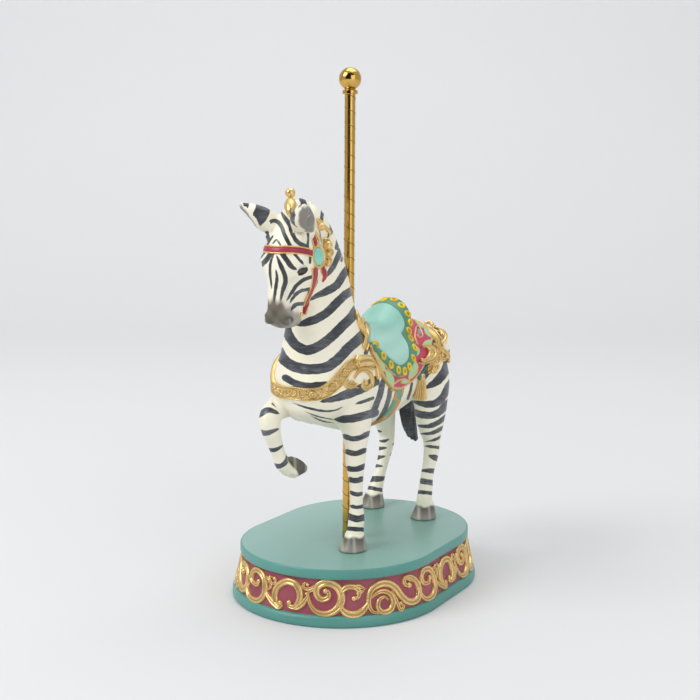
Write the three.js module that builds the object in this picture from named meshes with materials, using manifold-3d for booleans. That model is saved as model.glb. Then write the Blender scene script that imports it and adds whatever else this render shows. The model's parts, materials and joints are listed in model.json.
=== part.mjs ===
// Carousel zebra figurine: a painted cast zebra in carnival harness, on an oval plinth with a brass pole.
// Millimetres, +Z up. The origin is the centre of the plinth's underside; the zebra faces -Y, its left side is +X.
import * as THREE from 'three';
import { mergeVertices } from 'three/addons/utils/BufferGeometryUtils.js';
import Module from 'manifold-3d';

const wasm = await Module();
wasm.setup();

// Plinth
const SLAB_HALF_LENGTH = 122;
const SLAB_HALF_WIDTH = 90.9;
const SLAB_THICKNESS = 8.7;
const FRIEZE_HEIGHT = 30;
const FRIEZE_INSET_TOP = 3.2;
const FRIEZE_FLARE = 6.4;
const FOOT_HEIGHT = 10;
const FOOT_PROJECTION = 7.4;
const PLINTH_ARC_STEPS = 11;
const SCROLL_REPEATS = 4;
const SCROLL_WIDTH = 6.4;
const SCROLL_RELIEF = 3.2;
const SCROLL_STEPS = 8;
const SCROLL_MARGIN = 1.2;

// Pole and its ball
const POLE_DIAMETER = 9.5;
const POLE_ABOVE_PLINTH = 401;
const POLE_SOCKET_DEPTH = 24;
const POLE_CLEARANCE = 0.3;
const POLE_SIDE = 3.6;
const POLE_FORWARD = 23.4;
const BALL_DIAMETER = 19.7;
const COLLAR_DIAMETER = 13.4;
const COLLAR_HEIGHT = 3.6;
const ROUND_STEPS = 14;

// Zebra: its tables are drawn on a grid of 200 parts to the withers' height, from the pole's axis at the plinth's top
const WITHERS_HEIGHT = 200;
const GRID_PARTS = 200;

const PLINTH_HEIGHT = FOOT_HEIGHT + FRIEZE_HEIGHT + SLAB_THICKNESS;
const POLE_RADIUS = POLE_DIAMETER / 2;
const BORE_RADIUS = POLE_RADIUS + POLE_CLEARANCE;
const GRID = WITHERS_HEIGHT / GRID_PARTS;
const CHIP = 0.5;
const UP = new THREE.Vector3(0, 0, 1);
const SIDEWAYS = new THREE.Vector3(1, 0, 0);
const FORWARD_BACK = new THREE.Vector3(0, 1, 0);

// Closed skin over rings of equal count, with a fan on each end; turned outward whichever way the rings run.
function skin(rings) {
  const count = rings[0].length;
  const points = rings.flat();
  const faces = [];
  for (let ring = 0; ring + 1 < rings.length; ring += 1) {
    for (let i = 0; i < count; i += 1) {
      const a = ring * count + i;
      const b = ring * count + (i + 1) % count;
      faces.push([a, b, b + count], [a, b + count, a + count]);
    }
  }
  const first = points.length;
  points.push(middle(rings[0]), middle(rings[rings.length - 1]));
  const lastRing = (rings.length - 1) * count;
  for (let i = 0; i < count; i += 1) {
    const next = (i + 1) % count;
    faces.push([next, i, first], [lastRing + i, lastRing + next, first + 1]);
  }
  return bodyFrom(points, faces);
}

function middle(ring) {
  return ring.reduce((sum, p) => sum.add(p), new THREE.Vector3()).divideScalar(ring.length);
}

function bodyFrom(points, faces) {
  const volume = faces.reduce((sum, [a, b, c]) => (
    sum + points[a].dot(new THREE.Vector3().crossVectors(points[b], points[c]))), 0);
  const order = volume > 0 ? [0, 1, 2] : [0, 2, 1];
  const geometry = new THREE.BufferGeometry().setFromPoints(points);
  geometry.setIndex(faces.flatMap((face) => order.map((k) => face[k])));
  return geometry;
}

// Joins and cuts
function solid(geometry) {
  const bare = geometry.clone();
  bare.deleteAttribute('normal');
  bare.deleteAttribute('uv');
  const merged = mergeVertices(bare, 1e-4);
  return new wasm.Manifold(new wasm.Mesh({
    numProp: 3,
    vertProperties: new Float32Array(merged.attributes.position.array),
    triVerts: new Uint32Array(merged.index.array),
  }));
}

function geometryOf(body) {
  const mesh = body.getMesh();
  const geometry = new THREE.BufferGeometry();
  geometry.setAttribute('position', new THREE.BufferAttribute(mesh.vertProperties, mesh.numProp));
  geometry.setIndex(new THREE.BufferAttribute(mesh.triVerts, 1));
  geometry.computeVertexNormals();
  return geometry;
}

// Joins pieces to a first solid, and leaves out the loose chips smaller than CHIP that their crossings make
function joined(geometries, first) {
  const whole = geometries.map(solid).reduce((sum, piece) => sum.add(piece), first);
  return whole.decompose()
    .filter((body) => body.volume() > CHIP)
    .reduce((sum, body) => sum.add(body));
}

// One ring: an ellipse, or a squarer oval where power is over 2
function oval(centre, across, deep, halfAcross, halfDeep, sides, power = 2) {
  const ring = [];
  for (let i = 0; i < sides; i += 1) {
    const angle = ((i + 0.5) / sides) * 2 * Math.PI;
    const c = Math.cos(angle);
    const s = Math.sin(angle);
    const grow = 1 / (Math.abs(c) ** power + Math.abs(s) ** power) ** (1 / power);
    ring.push(centre.clone()
      .addScaledVector(across, c * grow * halfAcross)
      .addScaledVector(deep, s * grow * halfDeep));
  }
  return ring;
}

// Rounded body along a smooth path. A key is [x, y, z, half width sideways, half depth] on the figure's grid.
function limb(keys, steps, sides, power = 2, sideways = SIDEWAYS) {
  const path = new THREE.CatmullRomCurve3(keys.map(([x, y, z]) => new THREE.Vector3(x, y, z)));
  const sizes = new THREE.CatmullRomCurve3(keys.map(([, , , a, b]) => new THREE.Vector3(a, b, 0)));
  const rings = [];
  for (let i = 0; i <= steps; i += 1) {
    const t = i / steps;
    const along = path.getTangent(t);
    const across = sideways.clone().addScaledVector(along, -sideways.dot(along)).normalize();
    const deep = new THREE.Vector3().crossVectors(along, across);
    const size = sizes.getPoint(t);
    rings.push(oval(path.getPoint(t), across, deep, size.x, size.y, sides, power));
  }
  return skin(rings);
}

function ball(x, y, z, radius, steps = 10) {
  return new THREE.SphereGeometry(radius, steps, Math.round(steps * 0.7)).translate(x, y, z);
}

// Zebra's barrel: stations along the back
const BARREL = [
  { y: -89, z: 157, across: 13, deep: 13 },
  { y: -82, z: 156, across: 26, deep: 28 },
  { y: -67, z: 156, across: 34, deep: 38 },
  { y: -42, z: 156, across: 38, deep: 44 },
  { y: -7, z: 151.5, across: 39, deep: 48.5 },
  { y: 33, z: 147, across: 40, deep: 44 },
  { y: 68, z: 147, across: 39, deep: 39 },
  { y: 98, z: 151, across: 38, deep: 35.5 },
  { y: 122, z: 152.5, across: 34, deep: 30.5 },
  { y: 139, z: 151.5, across: 26, deep: 23 },
  { y: 148, z: 149, across: 12, deep: 10 },
];
const NECK = [
  [-1, -42, 156, 35, 44], [-1, -43, 186, 32, 43], [-1, -46, 213, 26, 37], [0, -50, 241, 21, 31],
  [0, -60, 269, 17.5, 25], [0, -72, 289, 15.5, 19], [0, -82, 298, 13, 12],
];
const HEAD = [
  [0, -85, 301, 10, 11], [0, -88, 290, 16, 20], [0, -90.6, 273, 19.5, 26], [0, -94.4, 256, 20.5, 28.5],
  [0, -99, 241, 16, 25.7], [0, -104.3, 229, 12.4, 19.8], [0, -105.4, 219, 13, 16.6],
  [0, -105, 210.5, 13.4, 13.5], [0, -104.6, 206, 8.6, 8],
];
const LEFT_FORE = [
  [18, -39, 158, 14, 26], [22, -33, 132, 15, 22], [23.4, -28, 116, 14, 16.5], [23.4, -27, 101, 11.2, 12],
  [23.4, -27, 91, 9.6, 10], [23.4, -27.6, 80, 9, 9.4], [23.4, -27, 70, 7.4, 7.8], [23.4, -26, 56, 6, 6.6],
  [23.4, -25.4, 40, 6, 6.4], [23.4, -25, 28, 7.4, 8], [23, -26, 18, 7.6, 8], [22.6, -27.4, 10, 8.6, 9],
];
const RIGHT_FORE = [
  [-19, -40, 150, 13, 26], [-23, -55, 139, 15, 18], [-26.6, -68, 132.6, 12, 12.6],
  [-28, -78, 129.4, 10, 10.4], [-28.4, -85.6, 124, 9.2, 9.6], [-28.4, -84, 113, 8.6, 8.8],
  [-28.4, -77.4, 99, 6.6, 7], [-28, -72.4, 89, 6.2, 6.6], [-27.4, -67.6, 80.5, 7, 7.4],
  [-26.8, -62, 75, 6.6, 6.8], [-26.4, -57, 71, 6.6, 6.8],
];
const LEFT_HIND = [
  [22, 104, 156, 16, 32], [29, 106, 136, 17, 28], [31.4, 105, 113, 15, 21.5], [31.6, 105, 100, 13.4, 19.5],
  [31.4, 107, 87, 10.8, 15.6], [31, 109.4, 73, 7.8, 9.6], [30.8, 109.4, 62, 7.4, 9], [30.4, 106, 51, 6.3, 7.6],
  [30.2, 102, 41, 6.2, 7], [30.4, 98.6, 27, 7, 7.8], [30.4, 96.4, 19, 7.6, 8.2], [30.4, 97.4, 10, 8.4, 8.8],
];
const RIGHT_HIND = [
  [-22, 110, 156, 16, 32], [-29, 114, 136, 17, 28], [-32, 122, 113, 15, 21], [-33, 127, 98, 12.5, 17],
  [-33.4, 133, 82, 10, 12.6], [-33.4, 137.4, 68, 8, 9], [-33.4, 136.6, 58, 7.4, 8.8], [-33, 131, 46, 6.2, 7.4],
  [-33, 124, 34, 6.2, 6.8], [-33, 115.6, 21, 7.2, 7.8], [-33, 111.6, 14, 7.8, 8.2], [-33, 111, 9, 8.4, 8.8],
];
const TAIL = [
  [0, 140, 176, 5, 5], [-1, 151, 163, 6, 6.5], [-8, 153, 138, 8, 8.5], [-15.6, 148, 112, 9.4, 10],
  [-14, 144, 90, 9, 9.6], [-8, 141, 70, 7, 8], [-4, 139.6, 64, 3, 4],
];
// Hoof from sole to coronet: [height, half width, half depth, set back from the toe]
const HOOF = [[0, 12.4, 13.6, -2.5], [3, 11.8, 12.8, -2], [12, 8.8, 9.4, 1], [16, 7, 7.4, 2]];
const HOOVES_ON_PLINTH = [[22.6, -28], [30.4, 97.4], [-33, 109]];
const RAISED_HOOF = { x: -26.4, y: -47, z: 77, pitch: 2.3, size: 0.88 };
// Round forms of the figure: [x, y, z, radius]
const ELBOW = [-18.5, -52, 127, 11.5];
const BROW = [14.4, -106, 260, 6.8];
const EYE = [16.8, -107.4, 252.6, 3.3];
const NOSTRIL = [6.6, -115.6, 211.6, 4.6];
const EAR = [
  [11, -92, 281, 7.5, 6], [15.6, -98, 289, 9.4, 6.8], [20.6, -106, 296, 9, 6.6],
  [26.6, -113.6, 303, 5.8, 4.8], [31, -118.6, 308, 1.4, 1.2],
];
const FORELOCK = [[3, -82, 302, 8, 8], [3, -91, 303, 7.6, 8], [3.6, -101, 300, 6, 7], [4, -107, 290, 3, 4]];
// Crest of the neck under the mane: [y, z]
const CREST = [
  [-92, 297], [-80, 300.5], [-65, 298], [-50, 289], [-38, 275], [-27, 257], [-18, 239.6], [-10, 222], [-5, 206],
];
const TUFTS = 8;
const TUFT_REACH = 9.4;
const TUFT_LEAN = 3;

// Harness. Angles are degrees from the spine, distances are on the figure's grid.
const SHEET_ROOT = 3;
const BLANKET_THICKNESS = 2.6;
const SEAT_THICKNESS = 4.6;
const CANTLE_RISE = 27;
const GIRTH_THICKNESS = 1.8;
const GIRTH_FROM = 17;
const GIRTH_TO = 31;
const COLLAR_WIDTH = 14;
const COLLAR_THICKNESS = 6;
const STRAP_WIDTH = 8;
const BRIDLE_WIDTH = 6.4;
const CHEEK_WIDTH = 4.4;
const CRUPPER_WIDTH = 9;
const BLANKET_FRONT = [[0, 7], [20, 2], [40, -13], [58, -21], [70, -18], [86, -11], [94, -3], [102, 8]];
const BLANKET_BACK = [[0, 109], [30, 107], [56, 103], [74, 83], [86, 66], [94, 52], [98, 38], [102, 22]];
const SEAT_FRONT = [[0, 20], [20, 8], [38, -10], [50, -19], [66, -15], [76, -5], [88, 13]];
const SEAT_BACK = [[0, 84], [12, 83], [24, 80], [30, 76], [38, 67], [50, 67], [60, 65], [74, 50], [84, 35], [88, 24]];
const COLLAR = [
  [0, -92, 148.6], [12, -90.4, 148.2], [24, -85.4, 150], [30.6, -77.2, 156], [34.4, -69.7, 163],
  [37.4, -60, 170], [37.6, -48, 171.6], [36.4, -34, 169.6], [36, -22, 167.4],
];
const SHOULDER_STRAP = [[0, 10, 205], [13, 5, 201], [23, -6, 193], [29, -19, 186], [32, -29, 181]];
const BROWBAND = [[0, -122.4, 271], [12, -117, 270.6], [18.6, -106, 269], [20, -88, 264]];
const CHEEK_STRAP = [[20.4, -87, 257], [17, -91.6, 243], [13, -98, 228], [12.4, -101, 217]];
const CROWN_STRAP = [[20, -87, 268], [17.6, -87, 280], [13, -86, 291]];
const ROSETTE_PLACE = [20, -87, 263.6];
const PLUME_PLACE = [0, -97, 292.6];
// Curls of gilded leaf on each side: [centre, radius, angle where the curl starts, sweep]
const CURLS = [
  [[15.6, -70, 274], 8, -1, 4.4], [[37.4, -38, 152], 6.4, 2.6, 4.8],
  [[32, 116, 170], 6.6, 0.4, 4.8], [[17, 120, 182], 6, 0.6, 4.6],
];
const CURL_STEPS = 4;
const TASSEL_KNOT = [41, 67, 145, 3.4];
const TASSEL = [[40.6, 67.4, 142, 2.6, 2.6], [39.6, 69, 133, 4.2, 4.4], [37, 71, 121, 5.2, 5.6]];
const CRUPPER = [[0, 116, 186], [14, 115, 183.6], [27, 113, 175], [36, 108, 163], [39.4, 96, 152], [39.6, 80, 148.6]];

const barrelPath = new THREE.CatmullRomCurve3(BARREL.map(({ y, z }) => new THREE.Vector3(0, y, z)));
const barrelSize = new THREE.CatmullRomCurve3(BARREL.map(({ across, deep }) => new THREE.Vector3(across, deep, 0)));

function barrel(steps, sides) {
  const rings = [];
  for (let i = 0; i <= steps; i += 1) {
    const centre = barrelPath.getPoint(i / steps);
    const size = barrelSize.getPoint(i / steps);
    rings.push(oval(centre, SIDEWAYS, UP, size.x, size.y, sides));
  }
  return skin(rings);
}

// Keys given for the left side, moved to side 1 (left) or -1 (right)
function onSide(keys, side) {
  return keys.map(([x, ...rest]) => [side * x, ...rest]);
}

function hoof(placement) {
  const rings = HOOF.map(([height, across, deep, back]) => (
    oval(new THREE.Vector3(0, back, height), SIDEWAYS, FORWARD_BACK, across, deep, 8)));
  return skin(rings).applyMatrix4(placement);
}

function standing([x, y]) {
  return new THREE.Matrix4().makeTranslation(x, y, 0);
}

function raised({ x, y, z, pitch, size }) {
  return new THREE.Matrix4().makeRotationX(pitch)
    .scale(new THREE.Vector3(size, size, size))
    .setPosition(x, y, z);
}

function ear(side) {
  return limb(onSide(EAR, side), 5, 6);
}

function animal() {
  return [
    barrel(11, 14),
    limb(NECK, 6, 11),
    limb(HEAD, 10, 11, 2.3),
    limb(LEFT_FORE, 12, 8),
    limb(RIGHT_FORE, 12, 8),
    limb(LEFT_HIND, 12, 8),
    limb(RIGHT_HIND, 12, 8),
    limb(TAIL, 6, 6),
    limb(FORELOCK, 3, 6),
    ...HOOVES_ON_PLINTH.map((place) => hoof(standing(place))),
    hoof(raised(RAISED_HOOF)),
    ball(...ELBOW, 7),
    ...mane(),
    ...pair((side) => [ear(side), ...onSide([BROW, EYE, NOSTRIL], side).map((place) => ball(...place, 6))]),
  ];
}

// The same pieces on the left, side 1, and on the right, side -1
function pair(make) {
  return [1, -1].flatMap(make);
}

// Roached mane: a fin along the crest of the neck, with tufts that lean back over it
function mane() {
  const crest = new THREE.CatmullRomCurve3(CREST.map(([y, z]) => new THREE.Vector3(0, y, z)));
  const pieces = [limb(CREST.map(([y, z]) => [0, y, z, 3.4, 7]), 8, 5)];
  for (let i = 0; i < TUFTS; i += 1) {
    const t = (i + 0.5) / TUFTS;
    const root = crest.getPoint(t);
    const along = crest.getTangent(t);
    const out = new THREE.Vector3().crossVectors(SIDEWAYS, along);
    const reach = TUFT_REACH - 1.6 * Math.abs(2 * t - 0.8);
    const tip = root.clone().addScaledVector(out, reach).addScaledVector(along, -TUFT_LEAN);
    const base = root.clone().addScaledVector(out, -1);
    pieces.push(limb([
      [base.x, base.y, base.z, 3, 6.4],
      [tip.x, tip.y, tip.z, 1.2, 1.8],
    ], 1, 4));
  }
  return pieces;
}

// Sheet laid over the barrel between two angles from the spine, each row running from its front to its back edge.
function draped({ from, to, rows, columns, front, back, thickness }) {
  const rings = [];
  for (let i = 0; i <= rows; i += 1) {
    const angle = from + ((to - from) * i) / rows;
    const outer = [];
    const inner = [];
    for (let j = 0; j <= columns; j += 1) {
      const y = THREE.MathUtils.lerp(front(Math.abs(angle)), back(Math.abs(angle)), j / columns);
      const { point, normal } = onBarrel(y, angle);
      outer.push(point.clone().addScaledVector(normal, thickness(Math.abs(angle), y)));
      inner.push(point.clone().addScaledVector(normal, -SHEET_ROOT));
    }
    rings.push([...outer, ...inner.reverse()]);
  }
  return skin(rings);
}

function onBarrel(y, angle) {
  let low = 0;
  let high = 1;
  for (let i = 0; i < 24; i += 1) {
    const t = (low + high) / 2;
    if (barrelPath.getPoint(t).y < y) low = t;
    else high = t;
  }
  const centre = barrelPath.getPoint(low);
  const size = barrelSize.getPoint(low);
  const turn = THREE.MathUtils.degToRad(angle);
  return {
    point: new THREE.Vector3(size.x * Math.sin(turn), y, centre.z + size.y * Math.cos(turn)),
    normal: new THREE.Vector3(Math.sin(turn) * size.y, 0, Math.cos(turn) * size.x).normalize(),
  };
}

// Straight-line table: value at x between rows of [x, value]
function along(table, x) {
  const last = table.length - 1;
  const row = Math.min(Math.max(table.findIndex(([at]) => at > x), 1), last);
  const [x0, a] = table[row - 1];
  const [x1, b] = table[row];
  return THREE.MathUtils.lerp(a, b, THREE.MathUtils.clamp((x - x0) / (x1 - x0), 0, 1));
}

function saddle() {
  const cantle = (angle, y) => {
    const spine = 1 - THREE.MathUtils.smoothstep(angle, 6, 58);
    const rise = THREE.MathUtils.smoothstep(y, 30, 72) * (1 - 0.3 * THREE.MathUtils.smoothstep(y, 68, 82));
    return SEAT_THICKNESS + spine * CANTLE_RISE * rise;
  };
  return [
    draped({
      from: -102, to: 102, rows: 12, columns: 2, thickness: () => BLANKET_THICKNESS,
      front: (angle) => along(BLANKET_FRONT, angle), back: (angle) => along(BLANKET_BACK, angle),
    }),
    draped({
      from: -88, to: 88, rows: 14, columns: 4, thickness: cantle,
      front: (angle) => along(SEAT_FRONT, angle), back: (angle) => along(SEAT_BACK, angle),
    }),
    draped({
      from: 96, to: 264, rows: 6, columns: 1, thickness: () => GIRTH_THICKNESS,
      front: () => GIRTH_FROM, back: () => GIRTH_TO,
    }),
  ];
}

// Strap along a path whose keys are [x, y, z]: flat, its width near upright
function strap(keys, width, thickness, steps) {
  return limb(keys.map(([x, y, z]) => [x, y, z, width / 2, thickness / 2]), steps, 4, 8, UP);
}

function mirrored(keys) {
  return [...keys.map(([x, y, z]) => [-x, y, z]).reverse(), ...keys.filter(([x]) => x > 0)];
}

// Curl of carved leaf: a tapering spiral that lies against the side
function curl(side, [x, y, z], radius, turnFrom, sweep) {
  const keys = [];
  for (let i = 0; i <= CURL_STEPS; i += 1) {
    const t = i / CURL_STEPS;
    const angle = turnFrom + sweep * t;
    const r = radius * (1 - 0.65 * t);
    keys.push([side * x, y + r * Math.cos(angle), z + r * Math.sin(angle), 2.4 - t, 2.2 - t]);
  }
  return limb(keys, CURL_STEPS, 3);
}

function rosette(side) {
  const profile = [[0, -4], [9.2, -4], [9.2, 1.6], [6.8, 2.2], [4, 4.4], [0, 5.2]];
  return new THREE.LatheGeometry(profile.map(([r, z]) => new THREE.Vector2(r, z)), 9)
    .rotateZ(-side * Math.PI / 2)
    .translate(side * ROSETTE_PLACE[0], ROSETTE_PLACE[1], ROSETTE_PLACE[2]);
}

function plume() {
  const profile = [[0, 0], [5.2, 0], [5.6, 5], [2.4, 16], [1.6, 19], [3.4, 20.6], [4.5, 24], [3.4, 27.2], [0, 28.6]];
  return new THREE.LatheGeometry(profile.map(([r, z]) => new THREE.Vector2(r, z)), 8)
    .rotateX(Math.PI / 2)
    .translate(...PLUME_PLACE);
}

function harness() {
  return [
    ...saddle(),
    strap(mirrored(COLLAR), COLLAR_WIDTH, COLLAR_THICKNESS, 14),
    strap(mirrored(SHOULDER_STRAP), STRAP_WIDTH, 5, 8),
    strap(mirrored(BROWBAND), BRIDLE_WIDTH, 3, 8),
    strap(mirrored(CRUPPER), CRUPPER_WIDTH, 6, 8),
    plume(),
    ...pair((side) => [
      rosette(side),
      strap(onSide(CHEEK_STRAP, side), CHEEK_WIDTH, 3, 4),
      strap(onSide(CROWN_STRAP, side), CHEEK_WIDTH, 3, 4),
      ...CURLS.map((placed) => curl(side, ...placed)),
      ...onSide([TASSEL_KNOT], side).map((place) => ball(...place, 6)),
      limb(onSide(TASSEL, side), 3, 6),
    ]),
  ];
}

// Stadium outline of the plinth at a distance outside the slab's edge
function stadium(outset, z) {
  const radius = SLAB_HALF_WIDTH + outset;
  const straight = SLAB_HALF_LENGTH - SLAB_HALF_WIDTH;
  const ring = [];
  for (const [end, start] of [[1, 0], [-1, Math.PI]]) {
    for (let i = 0; i <= PLINTH_ARC_STEPS; i += 1) {
      const angle = start + (i / PLINTH_ARC_STEPS) * Math.PI;
      ring.push(new THREE.Vector3(radius * Math.cos(angle), end * straight + radius * Math.sin(angle), z));
    }
  }
  return ring;
}

const FRIEZE_BOTTOM_OUT = FRIEZE_FLARE - FRIEZE_INSET_TOP;

// Point of the frieze at a length run along it and a height above its foot, lifted off the surface
function onFrieze(run, height, lift) {
  const outset = FRIEZE_BOTTOM_OUT - (FRIEZE_FLARE * height) / FRIEZE_HEIGHT;
  const straight = SLAB_HALF_LENGTH - SLAB_HALF_WIDTH;
  const quarter = (SLAB_HALF_WIDTH * Math.PI) / 2;
  const total = friezeLength();
  const at = ((run % total) + total) % total;
  const legs = [quarter, 2 * straight, 2 * quarter, 2 * straight, quarter];
  let rest = at;
  let leg = 0;
  while (leg < 4 && rest > legs[leg]) {
    rest -= legs[leg];
    leg += 1;
  }
  const turn = [-Math.PI / 2, 0, 0, Math.PI, Math.PI][leg] + (leg % 2 ? 0 : rest / SLAB_HALF_WIDTH);
  const centreY = [-straight, -straight + rest, straight, straight - rest, -straight][leg];
  const slope = Math.atan2(FRIEZE_FLARE, FRIEZE_HEIGHT);
  const radius = SLAB_HALF_WIDTH + outset + lift * Math.cos(slope);
  return new THREE.Vector3(
    radius * Math.cos(turn),
    centreY + radius * Math.sin(turn),
    FOOT_HEIGHT + height + lift * Math.sin(slope),
  );
}

function friezeLength() {
  return 2 * Math.PI * SLAB_HALF_WIDTH + 4 * (SLAB_HALF_LENGTH - SLAB_HALF_WIDTH);
}

// Scrolls of one repeat: [place in the repeat, size, kind, hand]. Kinds: a C that winds in, an arch with two curls.
const SCROLLS = [
  [0.023, 1, 'arch', 1], [0.207, 1, 'wound', 1], [0.345, 0.84, 'wound', 1],
  [0.483, 0.96, 'ring', -1], [0.621, 0.8, 'wound', -1], [0.8, 0.98, 'wound', -1],
];

function scrollPath(kind, hand, radius, t) {
  const open = { wound: 2.7, arch: 2.7, ring: 2.2 }[kind];
  if (kind === 'arch') {
    const side = 2 * t - 1;
    const angle = Math.PI / 2 - side * open;
    const r = radius * (1 - 0.5 * Math.max(0, Math.abs(side) - 0.62) / 0.38);
    return [r * Math.cos(angle), r * Math.sin(angle)];
  }
  const angle = open + t * 6.1;
  const r = radius * (1 - 0.62 * t ** 1.4);
  return [hand * r * Math.cos(angle), r * Math.sin(angle)];
}

function scroll(centreRun, size, kind, hand) {
  const radius = (FRIEZE_HEIGHT / 2 - SCROLL_MARGIN - SCROLL_WIDTH / 2) * size;
  const rings = [];
  for (let i = 0; i <= SCROLL_STEPS; i += 1) {
    const t = i / SCROLL_STEPS;
    const here = scrollPath(kind, hand, radius, t);
    const ahead = scrollPath(kind, hand, radius, t + 0.01);
    const heading = Math.atan2(ahead[1] - here[1], ahead[0] - here[0]);
    const half = (SCROLL_WIDTH / 2) * size * (1 - 0.35 * Math.abs(2 * t - 1));
    const edge = (turn, distance, lift) => onFrieze(
      centreRun + here[0] + distance * Math.cos(heading + turn),
      FRIEZE_HEIGHT / 2 + here[1] + distance * Math.sin(heading + turn),
      lift,
    );
    rings.push([edge(Math.PI / 2, half, -1), edge(0, 0, SCROLL_RELIEF), edge(-Math.PI / 2, half, -1)]);
  }
  return skin(rings);
}

function scrolls() {
  const pitch = friezeLength() / SCROLL_REPEATS;
  const pieces = [];
  for (let repeat = 0; repeat < SCROLL_REPEATS; repeat += 1) {
    for (const [place, size, kind, hand] of SCROLLS) {
      pieces.push(scroll((repeat + place) * pitch, size, kind, hand));
    }
  }
  return pieces;
}

const PLINTH_PROFILE = [
  [FOOT_PROJECTION - 1.5, 0], [FOOT_PROJECTION - 0.3, FOOT_HEIGHT * 0.16],
  [FOOT_PROJECTION, FOOT_HEIGHT * 0.45], [FOOT_PROJECTION - 0.6, FOOT_HEIGHT * 0.78],
  [FRIEZE_BOTTOM_OUT, FOOT_HEIGHT], [-FRIEZE_INSET_TOP, FOOT_HEIGHT + FRIEZE_HEIGHT],
  [-0.5, FOOT_HEIGHT + FRIEZE_HEIGHT], [0, FOOT_HEIGHT + FRIEZE_HEIGHT + 1],
  [0, PLINTH_HEIGHT - 1], [-1, PLINTH_HEIGHT],
];

function drum(radius, bottom, top) {
  return new THREE.CylinderGeometry(radius, radius, top - bottom, ROUND_STEPS)
    .rotateX(Math.PI / 2)
    .translate(POLE_SIDE, -POLE_FORWARD, (bottom + top) / 2);
}

function plinth() {
  const block = solid(skin(PLINTH_PROFILE.map(([outset, z]) => stadium(outset, z))));
  const socket = solid(drum(BORE_RADIUS, PLINTH_HEIGHT - POLE_SOCKET_DEPTH, PLINTH_HEIGHT + 1));
  return geometryOf(joined(scrolls(), block).subtract(socket));
}

function zebra() {
  const [first, ...rest] = [...animal(), ...harness()].map((piece) => piece.scale(GRID, GRID, GRID)
    .translate(POLE_SIDE, -POLE_FORWARD, PLINTH_HEIGHT));
  const bore = solid(drum(BORE_RADIUS, PLINTH_HEIGHT + 1, PLINTH_HEIGHT + POLE_ABOVE_PLINTH - 1));
  return geometryOf(joined(rest, solid(first)).subtract(bore));
}

const POLE_TOP = PLINTH_HEIGHT + POLE_ABOVE_PLINTH;

function pole() {
  return drum(POLE_RADIUS, PLINTH_HEIGHT - POLE_SOCKET_DEPTH, POLE_TOP);
}

function finial() {
  const radius = BALL_DIAMETER / 2;
  const neck = COLLAR_DIAMETER / 2;
  const middleHeight = COLLAR_HEIGHT + Math.sqrt(radius ** 2 - (neck * 0.72) ** 2);
  const start = Math.asin((neck * 0.72) / radius);
  const profile = [[0, 0], [neck, 0], [neck, COLLAR_HEIGHT], [neck * 0.72, COLLAR_HEIGHT]];
  const steps = 7;
  for (let i = 1; i <= steps; i += 1) {
    const angle = start + (i / steps) * (Math.PI - start);
    profile.push([i === steps ? 0 : radius * Math.sin(angle), middleHeight - radius * Math.cos(angle)]);
  }
  return new THREE.LatheGeometry(profile.map(([r, z]) => new THREE.Vector2(r, z)), ROUND_STEPS)
    .rotateX(Math.PI / 2)
    .translate(POLE_SIDE, -POLE_FORWARD, POLE_TOP);
}

function piece(name, geometry, colour, roughness, metalness) {
  const mesh = new THREE.Mesh(geometry, new THREE.MeshStandardMaterial({ color: colour, roughness, metalness }));
  mesh.name = name;
  return mesh;
}

const group = new THREE.Group();
group.add(
  piece('plinth', plinth(), 0x4f9487, 0.5, 0),
  piece('zebra', zebra(), 0xeae6d2, 0.5, 0),
  piece('pole', pole(), 0xd9b45c, 0.2, 1),
  piece('ball_finial', finial(), 0xd9b45c, 0.2, 1),
);

export default group;
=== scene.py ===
"""Carousel zebra figurine: painted resin, gilding and brass, dressed round its CAD frame.

The figure's tables are drawn on the same grid as the CAD source: millimetres from the pole's axis at the
plinth's top, the zebra facing -Y and its left side towards +X.
"""

import json
import logging
import math
from collections.abc import Iterable, Sequence
from dataclasses import dataclass, field
from enum import Enum

import bpy
import numpy as np
from mathutils import Matrix, Vector
from mathutils.bvhtree import BVHTree

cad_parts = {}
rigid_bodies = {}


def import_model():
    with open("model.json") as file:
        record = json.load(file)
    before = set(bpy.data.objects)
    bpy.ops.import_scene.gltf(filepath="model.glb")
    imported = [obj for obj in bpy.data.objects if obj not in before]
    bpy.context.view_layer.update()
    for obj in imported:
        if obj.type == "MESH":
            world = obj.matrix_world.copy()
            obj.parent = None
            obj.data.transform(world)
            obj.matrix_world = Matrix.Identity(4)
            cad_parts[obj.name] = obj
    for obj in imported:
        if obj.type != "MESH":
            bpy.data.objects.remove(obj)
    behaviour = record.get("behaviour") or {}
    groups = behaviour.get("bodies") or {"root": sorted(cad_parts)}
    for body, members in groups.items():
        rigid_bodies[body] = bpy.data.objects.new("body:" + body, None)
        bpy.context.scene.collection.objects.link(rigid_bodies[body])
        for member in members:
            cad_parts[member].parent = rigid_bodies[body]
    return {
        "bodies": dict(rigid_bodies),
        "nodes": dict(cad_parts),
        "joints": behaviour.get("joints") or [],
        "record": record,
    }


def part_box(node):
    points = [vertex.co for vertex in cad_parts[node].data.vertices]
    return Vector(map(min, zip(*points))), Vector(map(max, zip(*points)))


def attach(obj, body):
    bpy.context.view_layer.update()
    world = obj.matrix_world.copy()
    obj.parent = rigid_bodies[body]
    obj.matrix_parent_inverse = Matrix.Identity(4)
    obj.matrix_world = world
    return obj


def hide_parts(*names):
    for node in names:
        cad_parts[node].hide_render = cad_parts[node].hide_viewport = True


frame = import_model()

log = logging.getLogger("carousel_zebra")

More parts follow.
